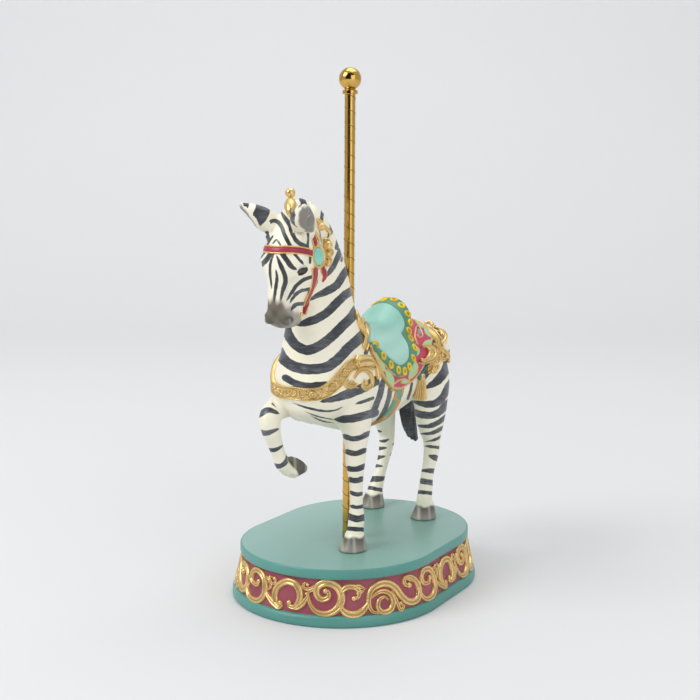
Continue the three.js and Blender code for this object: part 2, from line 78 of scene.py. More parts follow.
MM = 0.001
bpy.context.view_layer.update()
POLE_LOW, POLE_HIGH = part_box("pole")
AXIS_X = (POLE_LOW[0] + POLE_HIGH[0]) / 2
AXIS_Y = (POLE_LOW[1] + POLE_HIGH[1]) / 2
PLINTH_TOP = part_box("plinth")[1][2]
ORIGIN = np.array([AXIS_X, AXIS_Y, PLINTH_TOP])

Array = np.ndarray
Key = Sequence[float]
Material = bpy.types.Material
Mesh = bpy.types.Mesh
Node = bpy.types.Node
Object = bpy.types.Object
Socket = bpy.types.NodeSocket
Tree = bpy.types.NodeTree


def srgb(code: str) -> tuple[float, float, float, float]:
    """Turns a colour as it looks on a screen into linear light.

    Args:
        code: Hex digits, such as "eae6d2".

    Returns:
        Red, green, blue and alpha for a shader socket.
    """
    channels = [int(code[i:i + 2], 16) / 255 for i in (0, 2, 4)]
    linear = [c / 12.92 if c <= 0.04045 else ((c + 0.055) / 1.055) ** 2.4 for c in channels]
    return (*linear, 1.0)


def node(tree: Tree, kind: str, inputs: dict | None = None, **settings) -> Node:
    """Adds one node with its settings, values and links.

    Args:
        tree: The node tree that gets it.
        kind: The node's type name.
        inputs: Socket name or number to a value, or to another node's output that feeds it.
        settings: Properties of the node itself.

    Returns:
        The new node.
    """
    made = tree.nodes.new(kind)
    for name, value in settings.items():
        setattr(made, name, value)
    feed(tree, made, inputs or {})
    return made


def feed(tree: Tree, target: Node, values: dict) -> None:
    """Links or sets a node's sockets.

    Args:
        tree: The node tree.
        target: The node.
        values: Socket name or number to a value, or to another node's output.
    """
    for key, value in values.items():
        if isinstance(value, Socket):
            tree.links.new(value, target.inputs[key])
        else:
            target.inputs[key].default_value = value


def paints(*codes: str) -> list[Array]:
    """Linear colours of some hex codes, without alpha."""
    return [np.array(srgb(code)[:3]) for code in codes]


def blend(base: Array, tone: Array, share: Array) -> Array:
    """Moves colours towards a tone by a share for each point."""
    return base * (1 - share[..., None]) + tone * share[..., None]


def smoothstep(x: Array | float, low: float, high: float) -> Array:
    """Eases from 0 at low to 1 at high."""
    t = np.clip((np.asarray(x, float) - low) / (high - low), 0, 1)
    return t * t * (3 - 2 * t)


def unit(rows: Array) -> Array:
    """The same directions with length 1."""
    return rows / np.linalg.norm(rows, axis=-1, keepdims=True)


def directions(path: Array) -> Array:
    """Which way a path runs at each of its points."""
    return unit(np.gradient(path, axis=0))


def both_halves(left: Sequence[Key]) -> Array:
    """A path from its left half, whose first point is in the middle plane."""
    rows = np.asarray(left, float)
    return np.vstack([rows[:0:-1] * [-1, 1, 1], rows])


def added(name: str, data: bpy.types.ID) -> Object:
    """Puts mesh, light or camera data into the scene as an object.

    Args:
        name: The object's name.
        data: What it shows.

    Returns:
        The object.
    """
    made = bpy.data.objects.new(name, data)
    bpy.context.scene.collection.objects.link(made)
    return made


def smoothed(mesh: Mesh) -> None:
    """Shades all faces of a mesh smoothly."""
    mesh.polygons.foreach_set("use_smooth", np.ones(len(mesh.polygons), bool))


def in_metres(points: Array) -> Array:
    """Moves grid points to the shared frame, in metres."""
    return np.asarray(points, float) * MM + ORIGIN


def on_grid(points: Array) -> Array:
    """Moves points of the shared frame back to the figure's grid."""
    return (np.asarray(points, float) - ORIGIN) / MM


def smooth_curve(keys: Array, count: int) -> Array:
    """Centripetal Catmull-Rom curve through keys, one key interval taking an equal share of the samples.

    Args:
        keys: Rows of any width.
        count: Number of samples from the first key to the last.

    Returns:
        The samples, as rows of the same width.
    """
    keys = np.asarray(keys, float)
    padded = np.vstack([2 * keys[0] - keys[1], keys, 2 * keys[-1] - keys[-2]])
    place = np.linspace(0, len(keys) - 1, count)
    span = np.minimum(place.astype(int), len(keys) - 2)
    w = (place - span)[:, None]
    p0, p1, p2, p3 = (padded[span + k] for k in range(4))
    d0, d1, d2 = (np.maximum((np.sum((b - a) ** 2, axis=1) ** 0.25)[:, None], 1e-4)
                  for a, b in ((p0, p1), (p1, p2), (p2, p3)))
    start = ((p1 - p0) / d0 - (p2 - p0) / (d0 + d1) + (p2 - p1) / d1) * d1
    end = ((p2 - p1) / d1 - (p3 - p1) / (d1 + d2) + (p3 - p2) / d2) * d1
    square, cube = -3 * p1 + 3 * p2 - 2 * start - end, 2 * p1 - 2 * p2 + start + end
    return p1 + start * w + square * w ** 2 + cube * w ** 3


@dataclass
class Skin:
    """A bare mesh: points and faces.

    Attributes:
        points: Rows of x, y, z.
        faces: Point numbers of each face, outward.
    """

    points: Array
    faces: list[tuple[int, ...]]

    @staticmethod
    def joined(parts: Iterable["Skin"]) -> "Skin":
        """Puts several skins into one, without welding them.

        Args:
            parts: The skins.

        Returns:
            One skin with all their points and faces.
        """
        points, faces, first = [], [], 0
        for part in parts:
            points.append(part.points)
            faces.extend(tuple(i + first for i in face) for face in part.faces)
            first += len(part.points)
        return Skin(np.vstack(points), faces)

    def mirrored(self) -> "Skin":
        """The same skin on the other side of X = 0, still outward."""
        return Skin(self.points * [-1, 1, 1], [face[::-1] for face in self.faces])

    def volume(self) -> float:
        """Signed volume, positive when the faces point outwards."""
        fans = [(face[0], face[k], face[k + 1]) for face in self.faces for k in range(1, len(face) - 1)]
        a, b, c = (self.points[list(corner)] for corner in zip(*fans))
        return float(np.sum(a * np.cross(b, c))) / 6

    def outward(self) -> "Skin":
        """The same skin with its faces turned outwards."""
        if self.volume() >= 0:
            return self
        return Skin(self.points, [face[::-1] for face in self.faces])


def skin_of(rings: Array, capped: bool = True) -> Skin:
    """Closed skin over rings of equal count.

    Args:
        rings: Array of ring, point and coordinate.
        capped: Whether the two ends get a fan; otherwise the last ring joins the first.

    Returns:
        The skin, turned outwards.
    """
    count, around = rings.shape[:2]
    points = rings.reshape(-1, 3)
    faces = []
    last = count - 1 if capped else count
    for k in range(last):
        a0, b0 = k * around, ((k + 1) % count) * around
        for i in range(around):
            j = (i + 1) % around
            faces.append((a0 + i, a0 + j, b0 + j, b0 + i))
    if capped:
        first = len(points)
        points = np.vstack([points, rings[0].mean(0), rings[-1].mean(0)])
        end = (count - 1) * around
        for i in range(around):
            j = (i + 1) % around
            faces.append((j, i, first))
            faces.append((end + i, end + j, first + 1))
    return Skin(points, faces).outward()


def tube(keys: Sequence[Key], steps: int, sides: int, power: float = 2) -> Skin:
    """Rounded body along a smooth path, its sections ellipses or squarer ovals.

    Args:
        keys: Rows of x, y, z, half width along X and half depth.
        steps: Sections along the path.
        sides: Points round a section.
        power: 2 for an ellipse, more for a squarer oval.

    Returns:
        The closed skin.
    """
    table = np.asarray(keys, float)
    path = smooth_curve(table[:, :3], steps + 1)
    sizes = smooth_curve(table[:, 3:5], steps + 1)
    along = directions(path)
    sideways = np.array([1.0, 0, 0])
    side = unit(sideways - along * (along @ sideways)[:, None])
    deep = np.cross(along, side)
    angle = (np.arange(sides) + 0.5) / sides * 2 * math.pi
    c, s = np.cos(angle), np.sin(angle)
    grow = 1 / (np.abs(c) ** power + np.abs(s) ** power) ** (1 / power)
    rings = (path[:, None] + side[:, None] * (c * grow)[None, :, None] * sizes[:, 0, None, None]
             + deep[:, None] * (s * grow)[None, :, None] * sizes[:, 1, None, None])
    return skin_of(rings)


def ball(centre: Key, radius: float | Key, steps: int = 20) -> Skin:
    """Ball or ellipsoid, with its poles closed.

    Args:
        centre: Its middle.
        radius: One radius, or three half sizes.
        steps: Points round the equator.

    Returns:
        The closed skin.
    """
    sizes = np.broadcast_to(np.asarray(radius, float), 3)
    polar = (np.arange(1, steps // 2)) / (steps // 2) * math.pi
    turn = np.arange(steps) / steps * 2 * math.pi
    rings = np.stack([np.sin(polar)[:, None] * np.cos(turn), np.sin(polar)[:, None] * np.sin(turn),
                      np.repeat(np.cos(polar)[:, None], steps, 1)], axis=2)
    made = skin_of(rings)
    made.points[-2] = [0, 0, 1]
    made.points[-1] = [0, 0, -1]
    return Skin(made.points * sizes + np.asarray(centre, float), made.faces)


def turned(profile: Sequence[Key], sides: int) -> Skin:
    """Body turned round Z from a profile of [radius, height], both ends on the axis.

    Args:
        profile: Rows of radius and height.
        sides: Points round a section.

    Returns:
        The closed skin.
    """
    rows = np.asarray(profile, float)
    angle = np.arange(sides) / sides * 2 * math.pi
    rings = np.stack([rows[1:-1, 0, None] * np.cos(angle), rows[1:-1, 0, None] * np.sin(angle),
                      np.repeat(rows[1:-1, 1, None], sides, 1)], axis=2)
    made = skin_of(rings)
    made.points[-2] = [0, 0, rows[0, 1]]
    made.points[-1] = [0, 0, rows[-1, 1]]
    return made.outward()


def ribbon(path: Array, normals: Array, section: Array, widths: Array | float = 1.0) -> Skin:
    """Strap or moulding: a section swept along a path that lies on a surface.

    Args:
        path: Points along it.
        normals: The surface's outward direction at each point.
        section: Closed outline as rows of [across, out], seen along the path.
        widths: Scale of the section at each point.

    Returns:
        The closed skin.
    """
    along = directions(path)
    across = unit(np.cross(along, normals))
    out = np.cross(across, along)
    scale = np.broadcast_to(np.asarray(widths, float), len(path))[:, None, None]
    spread = across[:, None] * section[None, :, :1] + out[:, None] * section[None, :, 1:]
    return skin_of(path[:, None] + scale * spread)


def piece(name: str, skin: Skin, materials: Sequence[Material], grid: bool = True,
          slot_of: Array | None = None, crease: float | None = None) -> Object:
    """Makes a finished piece of the figurine.

    Args:
        name: The object's name.
        skin: Its mesh.
        materials: Its material slots.
        grid: Whether the points are on the figure's grid; otherwise metres of the shared frame.
        slot_of: Slot number of each face, or None for the first slot.
        crease: Angle in degrees above which an edge stays sharp, or None for smooth all over.

    Returns:
        The object, at the origin.
    """
    mesh = bpy.data.meshes.new(name)
    points = in_metres(skin.points) if grid else skin.points
    mesh.from_pydata(points.tolist(), [], skin.faces)
    mesh.update()
    made = added(name, mesh)
    for material in materials:
        mesh.materials.append(material)
    if slot_of is not None:
        mesh.polygons.foreach_set("material_index", np.asarray(slot_of, np.int32))
    smoothed(mesh)
    if crease is not None:
        mesh.set_sharp_from_angle(angle=math.radians(crease))
    return made


def adopt(made: Object, slot: str, *nodes: str) -> None:
    """Rides a piece on the one body and hides the CAD nodes that it stands for.

    Args:
        made: The piece.
        slot: The record's material slot; not used.
        nodes: CAD nodes that it replaces.
    """
    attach(made, "root")
    if nodes:
        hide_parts(*nodes)
    log.info("%s: %d faces", made.name, len(made.data.polygons))


def give(mesh: Mesh, name: str, values: Array) -> None:
    """Stores a number for each point as a mesh attribute that materials read."""
    layer = mesh.attributes.new(name, "FLOAT", "POINT")
    layer.data.foreach_set("value", np.asarray(values, np.float32))


def give_colour(mesh: Mesh, name: str, values: Array) -> None:
    """Stores a linear colour for each point as a mesh attribute that materials read.

    Args:
        mesh: Gets the attribute.
        name: Its name.
        values: Rows of red, green and blue.
    """
    layer = mesh.attributes.new(name, "FLOAT_COLOR", "POINT")
    rows = np.column_stack([values, np.ones(len(values))])
    layer.data.foreach_set("color", rows.astype(np.float32).ravel())


def vertex_positions(mesh: Mesh) -> Array:
    """Points of a mesh as rows.

    Args:
        mesh: The mesh.

    Returns:
        The rows.
    """
    flat = np.empty(len(mesh.vertices) * 3)
    mesh.vertices.foreach_get("co", flat)
    return flat.reshape(-1, 3)


def vertex_normals(mesh: Mesh) -> Array:
    """Outward directions of a mesh's points as rows.

    Args:
        mesh: The mesh.

    Returns:
        The rows.
    """
    flat = np.empty(len(mesh.vertices) * 3)
    mesh.vertex_normals.foreach_get("vector", flat)
    return flat.reshape(-1, 3)


def relaxed(mesh: Mesh, points: Array, rounds: int, strength: Array | float = 0.5) -> Array:
    """Draws each point towards the middle of its neighbours.

    Args:
        mesh: Gives the neighbours.
        points: Where the points are now.
        rounds: How often.
        strength: Share of the way, for all points or for each.

    Returns:
        The new points.
    """
    ends = np.empty(len(mesh.edges) * 2, np.int64)
    mesh.edges.foreach_get("vertices", ends)
    a, b = ends.reshape(-1, 2).T
    count = np.bincount(np.r_[a, b], minlength=len(points))[:, None].clip(1)
    share = np.broadcast_to(np.asarray(strength, float), len(points))[:, None]
    for _ in range(rounds):
        total = np.stack([np.bincount(a, row[b], len(row)) + np.bincount(b, row[a], len(row))
                          for row in points.T], axis=1)
        points = points + share * (total / count - points)
    return points


def voxel_mesh(skin: Skin, size: float) -> Mesh:
    """Melts overlapping closed skins into one even mesh.

    Args:
        skin: Points in metres and faces.
        size: Voxel side in metres.

    Returns:
        The new mesh.
    """
    source = bpy.data.meshes.new("melt")
    source.from_pydata(skin.points.tolist(), [], skin.faces)
    holder = added("melt", source)
    modifier = holder.modifiers.new("melt", "REMESH")
    modifier.mode = "VOXEL"
    modifier.voxel_size = size
    graph = bpy.context.evaluated_depsgraph_get()
    made = bpy.data.meshes.new_from_object(holder.evaluated_get(graph))
    bpy.data.objects.remove(holder)
    bpy.data.meshes.remove(source)
    return made


def distance_to_line(points: Array, line: Array) -> tuple[Array, Array]:
    """Distance of points to a broken line in any number of dimensions.

    Args:
        points: Rows of points.
        line: Rows of the line's corners.

    Returns:
        The distance, and the share of the line's length at the nearest place.
    """
    line = np.asarray(line, float)
    lengths = np.linalg.norm(np.diff(line, axis=0), axis=1)
    start = np.r_[0, np.cumsum(lengths)]
    best = np.full(len(points), np.inf)
    share = np.zeros(len(points))
    for k in range(len(line) - 1):
        leg = line[k + 1] - line[k]
        t = np.clip((points - line[k]) @ leg / max(float(leg @ leg), 1e-12), 0, 1)
        gap = np.linalg.norm(points - line[k] - t[:, None] * leg, axis=1)
        closer = gap < best
        best = np.where(closer, gap, best)
        share = np.where(closer, (start[k] + t * lengths[k]) / start[-1], share)
    return best, share


@dataclass(frozen=True)
class PhotoCamera:
    """The camera at the photograph's viewing angle.

    Attributes:
        azimuth: Degrees round the object from the front, towards its left side.
        pitch: Degrees that the camera stands above the aim.
        distance: Metres from the aim.
        focal_px: Focal length in pixels of the photograph's frame.
        aim_side: Metres that the aim lies to the right of the origin.
        aim_height: Height of the aim in metres.
        roll: Degrees that the frame is turned.
        frame_px: Side of the photograph's frame.
        sensor: Sensor width in millimetres.
    """

    azimuth: float = 29.844
    pitch: float = 8.075
    distance: float = 1.1272
    focal_px: float = 1227.85
    aim_side: float = -0.00732
    aim_height: float = 0.2197
    roll: float = 0.328
    frame_px: float = 700
    sensor: float = 36

    def axes(self) -> tuple[Array, Array, Array, Array]:
        """The frame's right, up and back directions, and the camera's place."""
        a, e, q = (math.radians(v) for v in (self.azimuth, self.pitch, self.roll))
        back = np.array([math.sin(a) * math.cos(e), -math.cos(a) * math.cos(e), math.sin(e)])
        level = np.array([math.cos(a), math.sin(a), 0])
        rise = np.cross(back, level)
        right = level * math.cos(q) + rise * math.sin(q)
        up = rise * math.cos(q) - level * math.sin(q)
        place = level * self.aim_side + np.array([0, 0, self.aim_height]) + back * self.distance
        return right, up, back, place

    def build(self) -> None:
        """Places the scene's camera."""
        right, up, back, place = self.axes()
        data = bpy.data.cameras.new("photo_camera")
        data.sensor_width = self.sensor
        data.lens = self.focal_px / self.frame_px * self.sensor
        data.clip_start = 0.05
        held = added("photo_camera", data)
        turn = Matrix([right, up, back]).transposed().to_4x4()
        held.matrix_world = Matrix.Translation(Vector(place)) @ turn
        bpy.context.scene.camera = held

    def seen(self, points: Array) -> Array:
        """Where points of the shared frame fall in the photograph's frame, in pixels.

        Args:
            points: Rows of places.

        Returns:
            Rows of pixels across and down.
        """
        right, up, back, place = self.axes()
        offset = points - place
        depth = -(offset @ back)
        half = self.frame_px / 2
        return np.column_stack([half + self.focal_px * (offset @ right) / depth,
                                half - self.focal_px * (offset @ up) / depth])

    def facing(self, points: Array, normals: Array) -> Array:
        """Cosine between the surface and the line to the camera."""
        return np.sum(normals * unit(self.axes()[3] - points), axis=1)


class Recipe:
    """A material in the making, its patterns drawn over the object's own coordinates."""

    def __init__(self, name: str) -> None:
        """Starts a material.

        Args:
            name: Its name.
        """
        self.material = bpy.data.materials.new(name)
        self.material.use_nodes = True
        self.tree = self.material.node_tree
        self.place = node(self.tree, "ShaderNodeTexCoord").outputs["Object"]

    def noise(self, scale: float, detail: float = 2.0, at: Socket | None = None,
              roughness: float = 0.5) -> Node:
        """Cloudy noise over the object, or over other coordinates.

        Args:
            scale: Patches in a metre.
            detail: Finer layers.
            at: Coordinates, or none for the object's own.
            roughness: Weight of the finer layers.

        Returns:
            The node, for its "Fac" or "Color".
        """
        return node(self.tree, "ShaderNodeTexNoise",
                    {"Vector": self.place if at is None else at, "Scale": scale,
                                                      "Detail": detail, "Roughness": roughness})

    def stretched(self, scale: Key) -> Socket:
        """The object's coordinates, scaled along each axis."""
        return node(self.tree, "ShaderNodeMapping", {"Vector": self.place, "Scale": scale}).outputs[0]

    def attribute(self, name: str, output: str = "Fac") -> Socket:
        """A value stored on the mesh's points."""
        return node(self.tree, "ShaderNodeAttribute", attribute_name=name).outputs[output]

    def maths(self, operation: str, *values: Socket | float) -> Socket:
        """The result of a sum on numbers and sockets."""
        return node(self.tree, "ShaderNodeMath", dict(enumerate(values)), operation=operation).outputs[0]

    def ranged(self, value: Socket, low_high: Key, to: Key = (0, 1), **settings) -> Socket:
        """A value carried from one range to another.

        Args:
            value: What is carried over.
            low_high: The range that it comes from.
            to: The range that it goes to.
            settings: Properties of the node.

        Returns:
            The value there.
        """
        return node(self.tree, "ShaderNodeMapRange", {
            "Value": value, "From Min": low_high[0], "From Max": low_high[1], "To Min": to[0], "To Max": to[1],
        }, **settings).outputs[0]

    def mixed(self, share: Socket | float, first: Socket | Key, second: Socket | Key,
              blend_type: str = "MIX") -> Socket:
        """A blend of two colours."""
        return node(self.tree, "ShaderNodeMix", {0: share, 6: first, 7: second}, data_type="RGBA",
                    blend_type=blend_type).outputs[2]

    def finished(self, values: dict[str, Socket | float],
                 relief: tuple[Socket, float, float] | None = None) -> Material:
        """Feeds the shader and hands the material over.

        Args:
            values: What goes to the shader's sockets.
            relief: Height of the finest relief, its strength and its depth in millimetres, or none.

        Returns:
            The material.
        """
        if relief:
            bump = node(self.tree, "ShaderNodeBump", {"Height": relief[0], "Strength": relief[1],
                                                      "Distance": relief[2] * MM})
            values = {**values, "Normal": bump.outputs["Normal"]}
        feed(self.tree, self.tree.nodes["Principled BSDF"], values)
        return self.material


@dataclass(frozen=True)
class Studio:
    """Plain pale floor that curves up behind the object, and soft lights.

    Attributes:
        near_colour: Pale grey of the paper round the object, darkened there as painted shade.
        far_colour: Of the paper on the wall, lightened there as painted light.
        fade: Metres from the object between which one turns into the other.
        half_width: Metres to each side.
        reach: Metres in front of the object.
        wall: Distance of the wall behind, in metres.
        bend: Radius of the curve between floor and wall.
        world_strength: Of the even light from all round.
        room_edge: Cosines between which polished metal starts to mirror the dark room behind the camera.
    """

    near_colour: str = "dcdcdd"
    far_colour: str = "fafafb"
    fade: tuple[float, float] = (0.3, 3.0)
    half_width: float = 6.0
    reach: float = 4.0
    wall: float = 3.0
    bend: float = 1.2
    world_strength: float = 0.62
    room_edge: tuple[float, float] = (0.55, 0.72)

    def build(self, camera: PhotoCamera) -> None:
        """Makes the backdrop, the lights and the world.

        Args:
            camera: Gives the direction that the wall stands square to.
        """
        back = camera.axes()[2]
        away = -np.array([back[0], back[1], 0]) / math.hypot(back[0], back[1])
        level = np.array([-away[1], away[0], 0])
        turn = np.linspace(0, math.pi / 2, 13)
        depth = np.r_[-self.reach, self.wall - self.bend + self.bend * np.sin(turn), self.wall]
        height = np.r_[0, self.bend * (1 - np.cos(turn)), 5.0]
        rows = away * depth[:, None] + np.array([0, 0, 1]) * height[:, None]
        points = np.vstack([rows - level * self.half_width, rows + level * self.half_width])
        count = len(rows)
        faces = [(k, k + 1, count + k + 1, count + k) for k in range(count - 1)]
        mesh = bpy.data.meshes.new("backdrop")
        mesh.from_pydata(points.tolist(), [], faces)
        smoothed(mesh)
        floor = added("backdrop", mesh)
        mesh.materials.append(self.paper())
        self.light("key", (-1.1, -1.7, 1.9), 1.3, 30)
        self.light("fill", (1.9, -1.1, 0.9), 1.6, 11)
        self.light("top", (0.0, 0.4, 2.2), 1.8, 17)
        world = bpy.data.worlds.new("studio")
        world.use_nodes = True
        self.room(world.node_tree, back)
        bpy.context.scene.world = world
        bpy.context.scene.view_settings.view_transform = "Standard"

    def room(self, tree: Tree, back: Array) -> None:
        """Lights the world evenly; polished metal also mirrors the dark room behind the camera.

        Args:
            tree: The world's nodes.
            back: Direction from the object to the camera.
        """
        sky = tree.nodes["Background"]
        sky.inputs["Color"].default_value = srgb("f1f3f5")
        sky.inputs["Strength"].default_value = self.world_strength
        way = node(tree, "ShaderNodeTexCoord")
        turn = node(tree, "ShaderNodeVectorMath", {0: way.outputs["Generated"], 1: tuple(back)},
                    operation="DOT_PRODUCT")
        dark = node(tree, "ShaderNodeMapRange", {"Value": turn.outputs["Value"], "From Min": self.room_edge[0],
                                                 "From Max": self.room_edge[1]})
        path = node(tree, "ShaderNodeLightPath")
        share = node(tree, "ShaderNodeMath", {0: dark.outputs[0], 1: path.outputs["Is Glossy Ray"]},
                     operation="MULTIPLY")
        room = node(tree, "ShaderNodeBackground", {"Color": srgb("4a4238"), "Strength": 0.12})
        mixed = node(tree, "ShaderNodeMixShader", {0: share.outputs[0], 1: sky.outputs[0], 2: room.outputs[0]})
        tree.links.new(mixed.outputs[0], tree.nodes["World Output"].inputs["Surface"])

    def paper(self) -> Material:
        """Matt paper backdrop with the faintest mottle; painted shade greys it round the object and painted
        light brightens it towards the wall.
        """
        recipe = Recipe("backdrop_paper")
        mottle = recipe.noise(3.0).outputs["Fac"]
        reach = node(recipe.tree, "ShaderNodeVectorMath", {0: recipe.place},
                     operation="LENGTH").outputs["Value"]
        # Painted light and shade: greyer paper near the object, where the lamps light the floor most, paler
        # paper on the wall that they reach less
        share = recipe.ranged(recipe.maths("MULTIPLY_ADD", mottle, 0.1, reach), self.fade)
        colour = recipe.mixed(share, srgb(self.near_colour), srgb(self.far_colour))
        return recipe.finished({"Base Color": colour, "Roughness": 0.9, "Specular IOR Level": 0.1})

    def light(self, name: str, place: Key, size: float, power: float) -> None:
        """Adds one soft square light that looks at the figure.

        Args:
            name: The light's name.
            place: Where it hangs, in metres.
            size: Side of its square.
            power: Watts.
        """
        data = bpy.data.lights.new(name, "AREA")
        data.size = size
        data.energy = power
        held = added(name, data)
        held.location = place
        aim = Vector((0, 0, 0.2)) - Vector(place)
        held.rotation_euler = aim.to_track_quat("-Z", "Y").to_euler()


@dataclass(frozen=True)
class Gilding:
    """Brushed-on gold paint over resin: warm metallic lights, with brown antiquing and painted shade in the
    hollows.
    """

    name: str = "gold_paint_antiqued"
    gold: str = "f0cf8a"
    # Brown of the antiquing and of the painted shade in the hollows
    shade: str = "7a5522"
    roughness: float = 0.3
    brush_mm: float = 1.6

    def make(self) -> Material:
        """Builds the material."""
        recipe = Recipe(self.name)
        scale = 1 / (self.brush_mm * MM)
        wash = recipe.noise(scale / 6, 4.0).outputs["Fac"]
        grain = recipe.noise(scale, 3.0).outputs["Fac"]
        point = node(recipe.tree, "ShaderNodeNewGeometry").outputs["Pointiness"]
        # Brown antiquing and painted shade where the surface is hollow, with a faint brown wash at random
        antique_and_shade = recipe.maths("MAXIMUM", recipe.ranged(point, (0.40, 0.53), (1, 0)),
                            recipe.ranged(wash, (0.42, 0.75), (0, 0.32)))
        return recipe.finished({"Base Color": recipe.mixed(antique_and_shade, srgb(self.gold), srgb(self.shade)),
                                "Roughness": recipe.ranged(antique_and_shade, (0, 1), (self.roughness, 0.6)),
                                "Metallic": 0.72}, (grain, 0.25, 0.25))


@dataclass(frozen=True)
class Enamel:
    """Hand-brushed acrylic on cast resin under a satin varnish: a little uneven in colour, softly shining.

    Attributes:
        colour: Its main colour.
        deep: The darker tone of its streaks.
        streak_mm: Width of the brush streaks.
        roughness: Of the varnish.
        coat: Weight and roughness of a gloss coat over it.
    """

    name: str
    colour: str
    deep: str
    streak_mm: float = 3.0
    roughness: float = 0.38
    coat: tuple[float, float] = (0.0, 0.03)

    def make(self) -> Material:
        """Builds the material."""
        recipe = Recipe(self.name)
        along = recipe.stretched((1.0, 0.35, 1.0))
        scale = 1 / (self.streak_mm * MM)
        streak = recipe.noise(scale / 5, 5.0, along).outputs["Fac"]
        grain = recipe.noise(scale, 2.0, along).outputs["Fac"]
        colour = recipe.mixed(recipe.ranged(streak, (0.3, 0.75)), srgb(self.colour), srgb(self.deep))
        gloss = recipe.ranged(streak, (0, 1), (self.roughness - 0.06, self.roughness + 0.1))
        return recipe.finished({"Base Color": colour, "Roughness": gloss, "Coat Weight": self.coat[0],
                                "Coat Roughness": self.coat[1]}, (grain, 0.2, 0.2))


@dataclass(frozen=True)
class PolishedBrass:
    """Polished brass tube and ball: deep mirror-like gold with faint turning marks."""

    name: str = "polished_brass"
    colour: str = "e2bd6c"
    roughness: float = 0.16
    mark_mm: float = 0.8

    def make(self) -> Material:
        """Builds the material."""
        recipe = Recipe(self.name)
        marks = node(recipe.tree, "ShaderNodeTexWave", {
            "Vector": recipe.place, "Scale": 1 / (self.mark_mm * MM) / 6, "Distortion": 0.6,
        }, bands_direction="Z").outputs["Fac"]
        cloud = recipe.noise(60.0, 3.0).outputs["Fac"]
        gloss = recipe.ranged(cloud, (0, 1), (self.roughness - 0.04, self.roughness + 0.1))
        return recipe.finished({"Base Color": recipe.mixed(cloud, srgb(self.colour), srgb("c79a48")),
                                "Roughness": gloss, "Metallic": 1.0}, (marks, 0.05, 0.05))


@dataclass(frozen=True)
class ZebraPaint:
    """Cream acrylic with hand-brushed charcoal stripes: wavering edges, blue-grey streaks in their middles
    that are partly brush marks and partly painted sheen.

    It reads the point attributes "ground", the colour under the stripes, and "stripe", the distance in pixels
    of the photograph's frame inside a stripe's edge.
    """

    name: str = "acrylic_zebra_stripes"
    charcoal: str = "33373c"
    # Blue-grey of the streaks, partly brush marks and partly painted sheen
    streak: str = "6b7178"
    waver_mm: float = 1.5

    def make(self) -> Material:
        """Builds the material."""
        recipe = Recipe(self.name)
        scale = 1 / (self.waver_mm * MM)
        waver = recipe.ranged(recipe.noise(scale / 3, 3.0).outputs["Fac"], (0, 1), (-0.7, 0.7))
        cover = recipe.ranged(recipe.maths("ADD", recipe.attribute("stripe"), waver), (-0.35, 0.35),
                              interpolation_type="SMOOTHSTEP")
        brush = recipe.noise(scale / 2, 5.0, recipe.stretched((0.35, 0.35, 1.7)), 0.6).outputs["Fac"]
        wide = recipe.noise(scale / 22)
        # Streaks in the stripes' middles: partly brush marks, partly painted sheen
        streaky = recipe.maths("MULTIPLY", brush, wide.outputs["Fac"])
        dark = recipe.mixed(recipe.ranged(streaky, (0.2, 0.4), (0, 0.85)), srgb(self.charcoal),
                            srgb(self.streak))
        tint = recipe.mixed(0.22, recipe.attribute("ground", "Color"), wide.outputs["Color"], "SOFT_LIGHT")
        return recipe.finished({"Base Color": recipe.mixed(cover, tint, dark),
                                "Roughness": recipe.ranged(brush, (0, 1), (0.3, 0.5)),
                                "Coat Weight": 0.15, "Coat Roughness": 0.3}, (brush, 0.14, 0.2))


@dataclass(frozen=True)
class PaintedCloth:
    """Carved and painted saddle cloth under a satin varnish; the attribute "paint" holds its colours."""

    name: str = "painted_carved_cloth"
    roughness: float = 0.42
    grain_mm: float = 1.2

    def make(self) -> Material:
        """Builds the material."""
        recipe = Recipe(self.name)
        grain = recipe.noise(1 / (self.grain_mm * MM), 4.0)
        paint = recipe.mixed(0.35, recipe.attribute("paint", "Color"), grain.outputs["Color"], "SOFT_LIGHT")
        return recipe.finished({"Base Color": paint, "Metallic": recipe.attribute("gilt"),
                                "Roughness": self.roughness}, (grain.outputs["Fac"], 0.3, 0.2))


@dataclass(frozen=True)
class Sheet:
    """An enlarged part of the photograph's frame, on which strokes are placed.

    Attributes:
        left: Its left edge in pixels of the frame.
        top: Its top edge.
        zoom: How many of its units go into a pixel.
    """

    left: float
    top: float
    zoom: float

    def to_frame(self, points: Array) -> Array:
        """Moves points of the sheet to the frame."""
        return np.asarray(points, float) / self.zoom + [self.left, self.top]


HEAD_SHEET = Sheet(left=230, top=180, zoom=9.8)
BODY_SHEET = Sheet(left=250, top=330, zoom=7.127)


class Taper(Enum):
    """Which ends of a stroke run out to a point."""

    NONE = 0
    START = 1
    END = 2
    BOTH = 3


